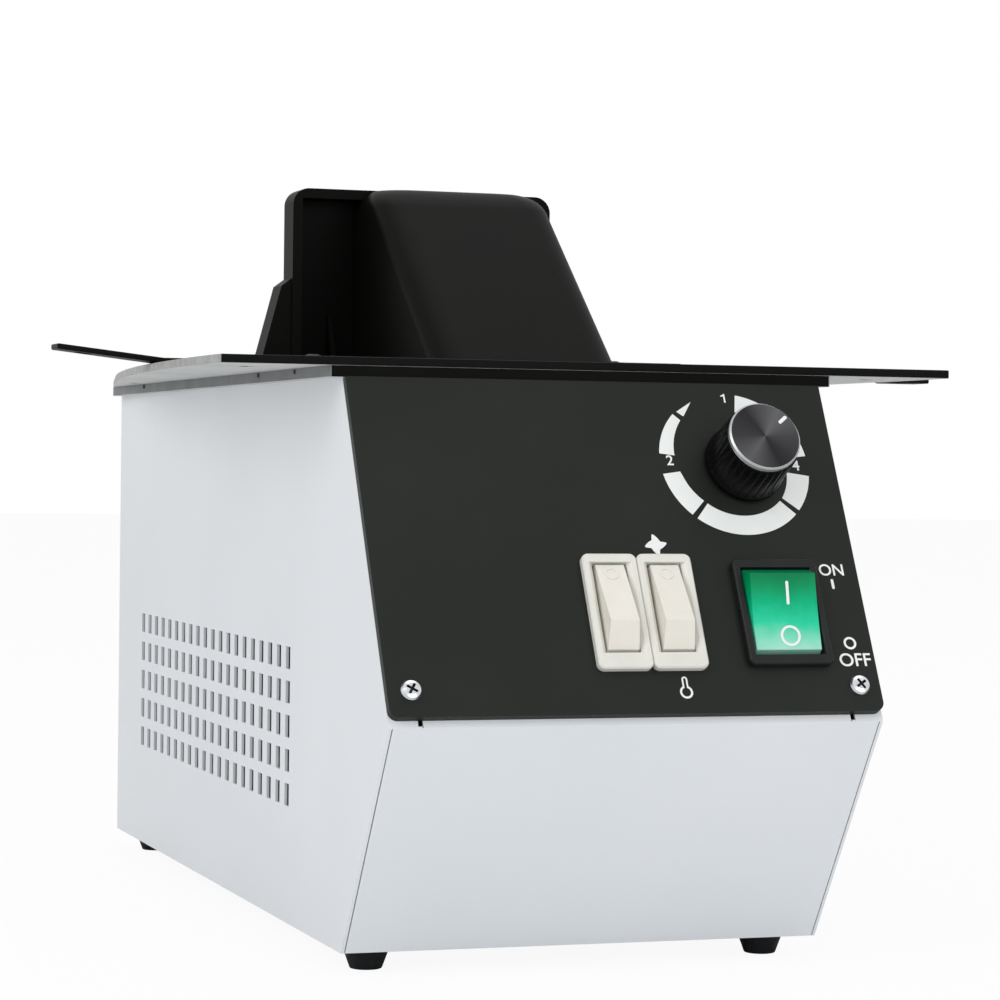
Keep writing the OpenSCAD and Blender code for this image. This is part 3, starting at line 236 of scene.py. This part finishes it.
# painted reflection: the fans and the bright chamfer colour stand in for light reflected by the turned face
aluminiumSpec = {"chamfer": "#B4B5B7", "chamferFrom": 9.3,  # mm from the axis
                 "reflectionFans": [(0.0, "#38383A"), (0.14, "#5C5C5E"), (0.3, "#2E2E30"), (0.5, "#414143"),
                          (0.66, "#646467"), (0.84, "#323234"), (1.0, "#38383A")]}


def spunAluminium():
    # turned aluminium face: concentric cuts 0.3 mm apart spread the light into fans
    material, shader = startMaterial("spunAluminium")
    place = addNode(material, "ShaderNodeTexCoord")
    cuts = addNode(material, "ShaderNodeTexWave",
                   {"wave_type": "RINGS", "rings_direction": "Z", "Scale": 1 / (0.3 * mm) / 20 * math.pi,
                    "Distortion": 0.0}, {"Vector": place.outputs["Object"]})
    relief = addNode(material, "ShaderNodeBump", {"Strength": 0.12, "Distance": 0.02 * mm},
                     {"Height": cuts.outputs["Fac"]})
    turned = addNode(material, "ShaderNodeTangent", {"direction_type": "RADIAL", "axis": "Z"})
    # painted reflection: lighter and darker fans are painted into the dial's colour by angle round the axis, and
    # the rim's chamfer is painted bright as a highlight
    sweep = addNode(material, "ShaderNodeTexGradient", {"gradient_type": "RADIAL"},
                    {"Vector": place.outputs["Object"]})
    reflectionFans = ramp(material, sweep.outputs["Fac"], [(spot, linear(code)) for spot, code in aluminiumSpec["reflectionFans"]])
    flat = addNode(material, "ShaderNodeVectorMath", {"operation": "MULTIPLY", 1: (1, 1, 0)},
                   {0: place.outputs["Object"]})
    radius = addNode(material, "ShaderNodeVectorMath", {"operation": "LENGTH"}, {0: flat.outputs["Vector"]})
    outside = addNode(material, "ShaderNodeMath",
                      {"operation": "GREATER_THAN", 1: aluminiumSpec["chamferFrom"] * mm},
                      {0: radius.outputs["Value"]})
    colour = addNode(material, "ShaderNodeMix", {"data_type": "RGBA"}, {0: outside.outputs["Value"]})
    material.node_tree.links.new(reflectionFans, colour.inputs[6])
    colour.inputs[7].default_value = linear(aluminiumSpec["chamfer"])
    material.node_tree.links.new(colour.outputs[2], shader.inputs["Base Color"])
    for key, value in {"Metallic": 1.0, "Roughness": 0.3, "Anisotropic": 0.9}.items():
        shader.inputs[key].default_value = value
    material.node_tree.links.new(relief.outputs["Normal"], shader.inputs["Normal"])
    material.node_tree.links.new(turned.outputs["Tangent"], shader.inputs["Tangent"])
    return material


# painted light: the pale bottom colours are a painted highlight, and the emission is a painted glow
lensSpec = {"from": -9.5, "to": 13, "cloud": 6, "wander": 5,  # mm along the lens
            "colours": [(0.0, "#B8DED6"), (0.2, "#8CD6BE"), (0.4, "#2CC49A"), (0.62, "#02A878"),
                        (0.86, "#00834F"), (1.0, "#006A42")],
            "shader": {"Roughness": 0.2, "IOR": 1.5, "Specular IOR Level": 0.07,
                       "Emission Color": linear("#00FFA0"), "Emission Strength": 0.04}}


def greenLens():
    # clear green polycarbonate: deep green at the top, running down to a pale painted highlight at the bottom end
    material, shader = startMaterial("greenPolycarbonate")
    place = addNode(material, "ShaderNodeTexCoord")
    height = addNode(material, "ShaderNodeSeparateXYZ", links={"Vector": place.outputs["Object"]})
    cloud = addNode(material, "ShaderNodeTexNoise", {"Scale": 1 / (lensSpec["cloud"] * mm), "Detail": 2.0},
                    {"Vector": place.outputs["Object"]})
    wander = addNode(material, "ShaderNodeMath", {"operation": "MULTIPLY_ADD", 1: lensSpec["wander"] * mm},
                     {0: cloud.outputs["Fac"], 2: height.outputs["Y"]})
    level = addNode(material, "ShaderNodeMapRange",
                    {"From Min": lensSpec["from"] * mm, "From Max": lensSpec["to"] * mm},
                    {"Value": wander.outputs["Value"]})
    colour = ramp(material, level.outputs["Result"], [(spot, linear(code)) for spot, code in lensSpec["colours"]])
    material.node_tree.links.new(colour, shader.inputs["Base Color"])
    # painted light: a faint green glow keeps the lens's shaded sides from going black
    for key, value in lensSpec["shader"].items():
        shader.inputs[key].default_value = value
    return material


finishes["spun_aluminium"] = spunAluminium()
finishes["green_plastic"] = greenLens()
printInk = paintedFinish("whiteScreenInk", "#E6EAE8", "#ECEFED", 10, 0.45, 0.4, 0.05)  # screen-printed epoxy ink
# the plates' undersides are painted pale grey, and their side edges a darker grey that is painted light, for the
# light from the left falling on them
plateUnderside = paintedFinish("paleGreyPlateUnderside", "#B4B5B2", "#C6C7C4", 30, 0.4, 0.8, 0.05)
litPlateEdge = paintedFinish("paintedLightPlateEdge", "#8A8B89", "#A4A5A2", 3, 0.5, 0.8, 0.15)
litRimEdge = paintedFinish("paintedLightRimEdge", "#5E6062", "#747678", 12, 0.45, 0.8, 0.1, {"Specular IOR Level": 0.3})
# painted shade: a near-black material in the screws' cross recesses, and a near-black sheet behind the vents where
# there is only shade
recessShade = paintedFinish("paintedShadeRecess", "#0B0B0C", "#121213", 2, 0.6, 0.3, 0.05)
ventShadeSheet = paintedFinish("paintedShadeVentSheet", "#0B0C0C", "#101111", 10, 0.8, 0.6, 0.1)
for node, holder in frame["nodes"].items():
    holder.data.materials.clear()
    holder.data.materials.append(finishes[slotOf[node]])
print("materials made:", len(finishes))


def bevelled(mesh, width, shortest, segments, sharpFrom=25):
    # rounds every edge that is sharper than sharpFrom degrees and longer than shortest mm
    form = bmesh.new()
    form.from_mesh(mesh)
    bmesh.ops.remove_doubles(form, verts=form.verts, dist=0.002 * mm)
    bmesh.ops.dissolve_limit(form, angle_limit=math.radians(0.4), verts=form.verts, edges=form.edges)
    sharp = [edge for edge in form.edges
             if len(edge.link_faces) == 2 and edge.calc_length() > shortest * mm
             and edge.calc_face_angle(0) > math.radians(sharpFrom)]
    bmesh.ops.bevel(form, geom=sharp, offset=width * mm, offset_type="OFFSET", segments=segments, profile=0.5,
                    affect="EDGES", clamp_overlap=True)
    for face in form.faces:
        face.smooth = True
    for edge in form.edges:
        edge.smooth = len(edge.link_faces) == 2 and edge.calc_face_angle(0) < math.radians(34)
    form.to_mesh(mesh)
    form.free()
    mesh.update()


def settle(piece):
    # area-weighted normals keep the flat faces flat next to their rounded edges
    weighted = piece.modifiers.new("evenShading", "WEIGHTED_NORMAL")
    weighted.keep_sharp = True


def addPiece(name, mesh, body, material, place=None):
    piece = bpy.data.objects.new(name, mesh)
    bpy.context.scene.collection.objects.link(piece)
    if place is not None:
        piece.matrix_world = place
    mesh.materials.clear()
    mesh.materials.append(material)
    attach(piece, body)
    return piece


roundings = {  # node: edge radius in mm, shortest edge rounded in mm, segments
    "control_panel": (0.45, 0.2, 3), "top_rim": (0.6, 1, 3), "mounting_flange": (0.35, 1, 2),
    "left_strap": (0.4, 1, 2), "right_strap": (0.4, 1, 2), "air_hood": (0.9, 1.5, 3),
    "base_tray": (0.3, 8, 2), "left_side_panel": (0.38, 8, 3), "right_side_panel": (0.38, 8, 3),
    "heat_switch_body": (0.35, 0.1, 2), "mode_switch_body": (0.35, 0.1, 2), "power_switch_body": (0.4, 0.1, 2),
    "heat_rocker": (0.35, 2, 3), "mode_rocker": (0.35, 2, 3), "rubber_feet": (0.3, 0.1, 2),
    "mains_inlet": (0.5, 1.5, 2), "terminal_block": (0.3, 2, 2), "hood_gasket": (0.15, 2, 1),
}
bezelStep = {"corner": 1.8, "top": 1.4, "height": 0.5}  # the step round a bezel's top, in mm
bezels = {  # node: u, v, width, length and height of its bezel in mm
    "heat_switch_body": (-3.2, 68.4, 14.8, 32.1, 2.2), "mode_switch_body": (11.7, 68.4, 14.8, 32.1, 2.2),
    "power_switch_body": (42.0, 68.8, 23.4, 29.9, 2.4),
}


def rollEdge(mesh, u, v, width, length, height):
    # draws the small step round a bezel's top out into a slope, which the rounding then softens
    place = onPanel(u, v)
    mesh.transform(place.inverted())
    for vertex in mesh.vertices:
        across = abs(vertex.co.x) - (width / 2 - bezelStep["corner"]) * mm
        along = abs(vertex.co.y) - (length / 2 - bezelStep["corner"]) * mm
        if abs(vertex.co.z - (height - bezelStep["height"]) * mm) > 0.02 * mm:
            continue
        reach = math.hypot(max(across, 0), max(along, 0))
        if abs(reach - bezelStep["top"] * mm) < 0.03 * mm:
            grow = bezelStep["corner"] * mm / reach
            vertex.co.x += math.copysign(max(across, 0) * (grow - 1), vertex.co.x)
            vertex.co.y += math.copysign(max(along, 0) * (grow - 1), vertex.co.y)
    form = bmesh.new()
    form.from_mesh(mesh)
    bmesh.ops.remove_doubles(form, verts=form.verts, dist=0.02 * mm)
    bmesh.ops.dissolve_degenerate(form, dist=0.01 * mm, edges=form.edges)
    form.to_mesh(mesh)
    form.free()
    mesh.transform(place)


shells = {}
for node, (width, shortest, segments) in roundings.items():
    copy = frame["nodes"][node].data.copy()
    if node in bezels:
        rollEdge(copy, *bezels[node])
    bevelled(copy, width, shortest, segments)
    shell = addPiece(node + ".shell", copy, bodyOf[node], finishes[slotOf[node]])
    settle(shell)
    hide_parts(node)
    shells[node] = shell
print("rounded shells made:", len(shells))


def greyUndersides(node, edgeMaterial):
    # the plates are black on top and in front; below they are painted pale grey, and at the sides grey as painted
    # light for the light falling on them from the left
    mesh = shells[node].data
    mesh.materials.append(plateUnderside)
    mesh.materials.append(edgeMaterial)
    # downward faces are painted pale grey; sideways faces take the grey of painted light on the edges
    for face in mesh.polygons:
        if face.normal.z < -0.9:
            face.material_index = 1
        elif abs(face.normal.x) > 0.5:
            face.material_index = 2


greyUndersides("mounting_flange", litPlateEdge)
greyUndersides("top_rim", litRimEdge)


# the screws' cross recesses, and the near-black sheet of painted shade behind the vents with its corners as
# (depth, height), all in mm
detailSpec = {"recessReach": 1.62, "recessFrom": 0.7, "sheet": 0.8, "shadeBehind": 0.3, "shadeThick": 0.2,
              "shadeFrom": (48.0, 29.9), "shadeTo": (246.4, 77.3)}


def darkenRecesses():
    # painted shade: the faces inside each screw's cross recess get a near-black material that stands in for the
    # shade there
    copy = frame["nodes"]["panel_screws"].data.copy()
    shell = addPiece("panel_screws.shell", copy, "case", finishes[slotOf["panel_screws"]])
    copy.materials.append(recessShade)
    toPanel = onPanel(0, 0).inverted()
    spots = [toPanel @ vertex.co for vertex in copy.vertices]
    halves = [[spot for spot in spots if spot.x * side > 0] for side in (-1, 1)]
    middle = [sum(half, Vector()) / len(half) for half in halves]
    for face in copy.polygons:
        spot = toPanel @ face.center
        axis = middle[0] if spot.x < 0 else middle[1]
        out = (toPanel.to_3x3() @ face.normal).z
        reach = math.hypot(spot.x - axis.x, spot.y - axis.y)
        inCross = spot.z > detailSpec["recessFrom"] * mm and reach < detailSpec["recessReach"] * mm
        if inCross and (out < 0.3 or spot.z < 0.9 * mm):
            face.material_index = 1
    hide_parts("panel_screws")


def addVentShadeSheet(name, node, side):
    # painted shade: a thin near-black sheet just inside each side panel, standing in for the shade behind the vent
    # slots
    low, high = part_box(node)
    inner = (high.x if side > 0 else low.x) - side * (detailSpec["sheet"] + detailSpec["shadeBehind"]) * mm
    outer = inner - side * detailSpec["shadeThick"] * mm
    mesh = bpy.data.meshes.new(name)
    form = bmesh.new()
    depths, heights = zip(detailSpec["shadeFrom"], detailSpec["shadeTo"])
    corners = [form.verts.new((x, caseY + y * mm, caseZ + z * mm)) for x in (inner, outer)
               for y in depths for z in heights]
    for ring in ((0, 1, 3, 2), (4, 5, 7, 6), (0, 1, 5, 4), (2, 3, 7, 6), (0, 2, 6, 4), (1, 3, 7, 5)):
        form.faces.new([corners[i] for i in ring])
    bmesh.ops.recalc_face_normals(form, faces=form.faces)
    form.to_mesh(mesh)
    form.free()
    addPiece(name, mesh, "case", ventShadeSheet)


darkenRecesses()
addVentShadeSheet("leftVentShadeSheet", "left_side_panel", -1)
addVentShadeSheet("rightVentShadeSheet", "right_side_panel", 1)
print("recesses and vent meshes done")

knobSpec = {"u": 39.4, "v": 25.8, "flutes": 30, "fluteDepth": 0.18, "steps": 360, "faceSteps": 180,
            "body": [(0.0, 0.8), (10.6, 0.8), (11.0, 1.1), (11.05, 2.2), (10.75, 2.9), (10.62, 3.4),
                     (10.1, 14.4), (9.9, 15.0), (9.4, 15.3), (0.0, 15.3)],
            "fluteFrom": 5, "fluteTo": 6,  # rows of the body profile that carry flutes
            "face": [(0.0, 15.3), (9.6, 15.3), (9.75, 15.45), (9.75, 16.5), (9.35, 16.95), (9.2, 17.0),
                     (4.0, 16.94), (0.0, 16.92)],
            "pointerAngle": 40, "pointerFrom": 5.9, "pointerTo": 9.0, "pointerWidth": 0.95,
            "pointerHeight": 16.96, "pointerInk": 0.05}


def lathe(profile, steps, wave=None):
    # turns (radius, height) in mm round local Z; wave(row, angle) is taken off the radius
    mesh = bpy.data.meshes.new("lathe")
    form = bmesh.new()
    rows = []
    for row, (radius, height) in enumerate(profile):
        if radius == 0:
            rows.append([form.verts.new((0, 0, height * mm))])
            continue
        ring = []
        for step in range(steps):
            angle = math.tau * step / steps
            r = (radius - (wave(row, angle) if wave else 0)) * mm
            ring.append(form.verts.new((r * math.cos(angle), r * math.sin(angle), height * mm)))
        rows.append(ring)
    for lower, upper in zip(rows, rows[1:]):
        for step in range(steps):
            after = (step + 1) % steps
            corners = list(dict.fromkeys((lower[step % len(lower)], lower[after % len(lower)],
                                          upper[after % len(upper)], upper[step % len(upper)])))
            if len(corners) > 2:
                form.faces.new(corners)
    bmesh.ops.recalc_face_normals(form, faces=form.faces)
    for face in form.faces:
        face.smooth = True
    for edge in form.edges:
        edge.smooth = edge.calc_face_angle(0) < math.radians(28)
    form.to_mesh(mesh)
    form.free()
    return mesh


def makeKnob():
    def flute(row, angle):
        if not knobSpec["fluteFrom"] <= row <= knobSpec["fluteTo"]:
            return 0
        return knobSpec["fluteDepth"] * (0.5 - 0.5 * math.cos(knobSpec["flutes"] * angle)) ** 3

    place = onPanel(knobSpec["u"], knobSpec["v"])
    body = addPiece("knobFlutedBody", lathe(knobSpec["body"], knobSpec["steps"], flute), "knob",
                    finishes["knob_plastic"], place)
    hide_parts("knob_body")
    face = addPiece("knobSpunFace", lathe(knobSpec["face"], knobSpec["faceSteps"]), "knob",
                    finishes["spun_aluminium"], place)
    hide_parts("knob_face")
    settle(face)
    half = knobSpec["pointerWidth"] / 2
    ends = [(knobSpec["pointerFrom"] + half, 90), (knobSpec["pointerTo"] - half, -90)]
    outline = [(x + half * math.cos(math.radians(start + turn)), half * math.sin(math.radians(start + turn)))
               for x, start in ends for turn in range(0, 181, 20)]
    turned = place @ Matrix.Rotation(math.radians(knobSpec["pointerAngle"]), 4, "Z")
    flatShape("knobPointer", [outline], knobSpec["pointerInk"],
              turned @ Matrix.Translation((0, 0, knobSpec["pointerHeight"] * mm)), "knob")


def flatShape(name, outlines, thick, place, body="case"):
    # thin raised ink from closed outlines in mm
    mesh = bpy.data.meshes.new(name)
    form = bmesh.new()
    for outline in outlines:
        top = [form.verts.new((x * mm, y * mm, thick * mm)) for x, y in outline]
        base = [form.verts.new((x * mm, y * mm, 0)) for x, y in outline]
        form.faces.new(top)
        form.faces.new(list(reversed(base)))
        for i in range(len(top)):
            j = (i + 1) % len(top)
            form.faces.new((base[i], base[j], top[j], top[i]))
    bmesh.ops.recalc_face_normals(form, faces=form.faces)
    form.to_mesh(mesh)
    form.free()
    return addPiece(name, mesh, body, printInk, place)


makeKnob()

# radii in mm, angles in degrees; "inner" is (angle, inner radius), "arrow" is (u, v) on the panel
dialSpec = {"u": 37.2, "v": 25.1, "outer": 20.9, "ink": 0.06, "stepAngle": 2.5,
            "inner": [(130, 18.5), (172, 16.7), (195, 15.7), (226, 15.3), (320, 15.4), (350, 14.6),
                      (365, 18.3), (366, 15.7), (440, 15.7)],
            "pieces": [("dialSweep", 135.8, 172.3), ("dialLowerLeft", 189, 226.3), ("dialBottom", 230.6, 315),
                       ("dialRight", 319.4, 350.5), ("dialTop", 367, 439.5)],
            "arrow": ((28.0, 6.8), (23.4, 9.8), (25.2, 11.2))}


def bandInner(angle):
    for (a, r), (b, q) in zip(dialSpec["inner"], dialSpec["inner"][1:]):
        if a <= angle <= b:
            return r + (q - r) * (angle - a) / (b - a)
    return dialSpec["inner"][-1][1]


def polar(radius, degrees):
    return radius * math.cos(math.radians(degrees)), radius * math.sin(math.radians(degrees))


def arcOutline(start, end):
    steps = max(6, int((end - start) / dialSpec["stepAngle"]))
    angles = [start + (end - start) * i / steps for i in range(steps + 1)]
    outer = [polar(dialSpec["outer"], angle) for angle in angles]
    inner = [polar(bandInner(angle), angle) for angle in angles]
    return outer + inner[::-1]


def makeDial():
    place = onPanel(dialSpec["u"], dialSpec["v"])
    for name, start, end in dialSpec["pieces"]:
        flatShape(name, [arcOutline(start, end)], dialSpec["ink"], place)
    arrow = [(u - dialSpec["u"], dialSpec["v"] - v) for u, v in dialSpec["arrow"]]
    flatShape("dialArrow", [arrow], dialSpec["ink"], place)


makeDial()

# text rows are (name, text, u, v, size key); the sizes are cap heights in mm
markSpec = {"ink": 0.06, "weight": 0.05, "digit": 3.0, "word": 3.75, "onWord": 3.35, "capShare": 0.73,
            "ringSteps": 48, "bulbTurns": 28, "line": (58.4, 60.2), "lineSize": (0.75, 2.9),
            "ring": (59.9, 77.1), "ringSize": (1.75, 1.15),
            "text": [("markOn", "ON", 58.8, 56.3, "onWord"), ("markOff", "OFF", 60.4, 82.0, "word"),
                     ("markTwo", "2", 19.1, 24.5, "digit"), ("markFour", "4", 54.7, 25.6, "digit")],
            "fan": (11.0, 49.0), "fanEdge": [(-0.9, 1.55), (-0.82, 2.28), (-0.62, 3.05), (-0.22, 2.92),
                                             (0.2, 2.55), (0.91, 1.72), (1.29, 1.0)],
            "heat": (12.3, 90.3), "bulb": (1.75, 1.2), "stem": (0.78, 0.34, 3.5),
            "one": (37.6, 5.5), "oneShape": [(-0.75, 0.5), (-0.75, 0.85), (-0.15, 1.0), (0.05, 1.3),
                                             (0.45, 1.3), (0.45, -1.3), (0.0, -1.3), (0.0, 0.6)]}


def makeText(name, words, u, v, size):
    height = markSpec[size]
    data = bpy.data.curves.new(name, "FONT")
    data.body = words
    data.align_x, data.align_y = "CENTER", "CENTER"
    data.size = height * mm / markSpec["capShare"]
    data.offset = markSpec["weight"] * mm
    data.extrude = markSpec["ink"] / 2 * mm
    data.resolution_u = 6
    holder = bpy.data.objects.new(name + "Draft", data)
    bpy.context.scene.collection.objects.link(holder)
    bpy.context.view_layer.update()
    mesh = bpy.data.meshes.new_from_object(holder.evaluated_get(bpy.context.evaluated_depsgraph_get()))
    bpy.data.objects.remove(holder)
    return addPiece(name, mesh, "case", printInk, onPanel(u, v, markSpec["ink"] / 2))


def ringShape(name, outer, inner, thick, place, body="case"):
    profile = [(inner, 0), (outer, 0), (outer, thick), (inner, thick), (inner, 0)]
    return addPiece(name, lathe(profile, markSpec["ringSteps"]), body, printInk, place)


def barOutline(width, length):
    half, ends = width / 2, 5
    points = []
    for y, start in ((length / 2 - half, 0), (half - length / 2, 180)):
        for i in range(ends + 1):
            x, rise = polar(half, start + 180 * i / ends)
            points.append((x, y + rise))
    return points


def bulbArc(radius, gap):
    # runs round the bulb from one side of the stem to the other, with the gap as an angle
    turns = markSpec["bulbTurns"]
    angles = [gap + (math.tau - 2 * gap) * i / turns for i in range(turns + 1)]
    return [(radius * math.sin(angle), radius * math.cos(angle)) for angle in angles]


def stemArc(radius, top):
    # closes the stem with half a turn
    angles = [math.pi * i / 8 for i in range(9)]
    return [(-radius * math.cos(angle), top + radius * math.sin(angle)) for angle in angles]


def makeMarks():
    for name, words, u, v, size in markSpec["text"]:
        makeText(name, words, u, v, size)
    ink = markSpec["ink"]
    flatShape("markLine", [barOutline(*markSpec["lineSize"])], ink, onPanel(*markSpec["line"]))
    ringShape("markRing", *markSpec["ringSize"], ink, onPanel(*markSpec["ring"]))
    flatShape("markOne", [markSpec["oneShape"]], ink, onPanel(*markSpec["one"]))
    fan = []
    for quarter in range(4):  # four blades, each the last one turned clockwise
        cosine, sine = round(math.cos(quarter * math.pi / 2)), round(math.sin(quarter * math.pi / 2))
        fan += [(x * cosine + y * sine, y * cosine - x * sine) for x, y in markSpec["fanEdge"]]
    flatShape("fanSymbol", [fan], ink, onPanel(*markSpec["fan"]))
    # thermometer: an open bulb ring that runs into a closed stem
    bulbOut, bulbIn = markSpec["bulb"]
    stemOut, stemIn, stemTop = markSpec["stem"]
    gapOut, gapIn = math.asin(stemOut / bulbOut), math.asin(stemIn / bulbIn)
    bulb, hollow = bulbArc(bulbOut, gapOut), bulbArc(bulbIn, gapIn)
    cap, bore = stemArc(stemOut, stemTop), stemArc(stemIn, stemTop)
    outer, inner = bulb + cap, hollow + bore
    walls = [[outer[i - 1], outer[i], inner[i], inner[i - 1]] for i in [*range(1, len(outer)), 0]]
    flatShape("heatSymbol", walls, ink, onPanel(*markSpec["heat"]))


makeMarks()
print("panel printing done")

# the marks follow the dished face: place is x, y and drop from its height in mm, lean in degrees
powerSpec = {"u": 42.0, "v": 68.8, "tilt": 13, "faceHeight": 3.85,
             "line": {"place": (0.9, 4.9, 0.28), "lean": 3.2, "size": (0.75, 6.2), "ink": 0.16},
             "ring": {"place": (0.7, -6.4, 0.25), "lean": -3.6, "size": (2.75, 2.1), "ink": 0.2}}


def onLens(mark):
    x, y, drop = mark["place"]
    spot = Matrix.Translation((x * mm, y * mm, (powerSpec["faceHeight"] - drop) * mm))
    return spot @ Matrix.Rotation(math.radians(mark["lean"]), 4, "X")


def makePowerRocker():
    copy = frame["nodes"]["power_rocker"].data.copy()
    place = onPanel(powerSpec["u"], powerSpec["v"], 0, math.radians(powerSpec["tilt"]))
    copy.transform(place.inverted())  # the lens is coloured along its own length
    bevelled(copy, 0.3, 2, 3, 12)
    lens = addPiece("powerLens", copy, "power_rocker_body", finishes["green_plastic"], place)
    settle(lens)
    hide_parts("power_rocker")
    line, ring = powerSpec["line"], powerSpec["ring"]
    flatShape("powerLineMark", [barOutline(*line["size"])], line["ink"], place @ onLens(line), "power_rocker_body")
    ringShape("powerRingMark", *ring["size"], ring["ink"], place @ onLens(ring), "power_rocker_body")


makePowerRocker()
print("power rocker done")

# a lamp is its place, target and size in metres, and its power in watts
stageSpec = {"floorSize": 14.0, "floor": "#F4F5F5", "whiteShare": 0.93, "worldLevel": 0.58,
             "lamps": {"leftSoftbox": ((-1.6, -0.9, 1.0), (0, 0, 0.1), (1.2, 1.2), 13),
                       "frontSoftbox": ((0.4, -1.8, 0.5), (0, 0, 0.08), (1.4, 1.0), 7.4),
                       "topSoftbox": ((0.2, 0.2, 1.9), (0, 0, 0.1), (1.4, 1.4), 6.6)}}


def makeStage():
    floorMaterial, shader = startMaterial("paleStudioFloor")
    shader.inputs["Base Color"].default_value = linear(stageSpec["floor"])
    shader.inputs["Roughness"].default_value = 0.9
    mesh = bpy.data.meshes.new("studioFloor")
    half = stageSpec["floorSize"] / 2
    corners = [(-half, -half, 0), (half, -half, 0), (half, half, 0), (-half, half, 0)]
    mesh.from_pydata(corners, [], [(0, 1, 2, 3)])
    floor = bpy.data.objects.new("studioFloor", mesh)
    floor.location.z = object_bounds()[0][2] - 0.02 * mm
    bpy.context.scene.collection.objects.link(floor)
    mesh.materials.append(floorMaterial)
    # the floor shows white to the camera where it is lit, and keeps the soft shadow
    tree = floorMaterial.node_tree
    path = addNode(floorMaterial, "ShaderNodeLightPath")
    white = addNode(floorMaterial, "ShaderNodeEmission", {"Color": (1, 1, 1, 1), "Strength": 1.0})
    share = addNode(floorMaterial, "ShaderNodeMath", {"operation": "MULTIPLY", 1: stageSpec["whiteShare"]},
                    {0: path.outputs["Is Camera Ray"]})
    blendNode = addNode(floorMaterial, "ShaderNodeMixShader", links={
        0: share.outputs["Value"], 1: shader.outputs["BSDF"], 2: white.outputs["Emission"]})
    tree.links.new(blendNode.outputs["Shader"], tree.nodes["Material Output"].inputs["Surface"])


def makeWorld():
    # white to the camera and in reflections, and softer as a light
    world = bpy.data.worlds.new("studioWorld")
    bpy.context.scene.world = world
    world.use_nodes = True
    ground = world.node_tree.nodes["Background"]
    ground.inputs["Color"].default_value = (1, 1, 1, 1)
    ground.inputs["Strength"].default_value = stageSpec["worldLevel"]
    bright = addNode(world, "ShaderNodeBackground", {"Color": (1, 1, 1, 1), "Strength": 1.0})
    rays = addNode(world, "ShaderNodeLightPath")
    seen = addNode(world, "ShaderNodeMath", {"operation": "MAXIMUM"},
                   {0: rays.outputs["Is Camera Ray"], 1: rays.outputs["Is Glossy Ray"]})
    through = addNode(world, "ShaderNodeMath", {"operation": "MAXIMUM"},
                      {0: seen.outputs["Value"], 1: rays.outputs["Is Transmission Ray"]})
    choose = addNode(world, "ShaderNodeMixShader", links={
        0: through.outputs["Value"], 1: ground.outputs["Background"], 2: bright.outputs["Background"]})
    world.node_tree.links.new(choose.outputs["Shader"], world.node_tree.nodes["World Output"].inputs["Surface"])


def addLamp(name, spot, target, size, power):
    data = bpy.data.lights.new(name, "AREA")
    data.shape = "RECTANGLE"
    data.size, data.size_y = size
    data.energy = power
    lamp = bpy.data.objects.new(name, data)
    lamp.location = spot
    lamp.rotation_euler = (Vector(target) - Vector(spot)).to_track_quat("-Z", "Y").to_euler()
    bpy.context.scene.collection.objects.link(lamp)


makeStage()
makeWorld()
for name, (spot, target, size, power) in stageSpec["lamps"].items():
    addLamp(name, spot, target, size, power)
bpy.context.scene.view_settings.view_transform = "Standard"
print("stage lit")
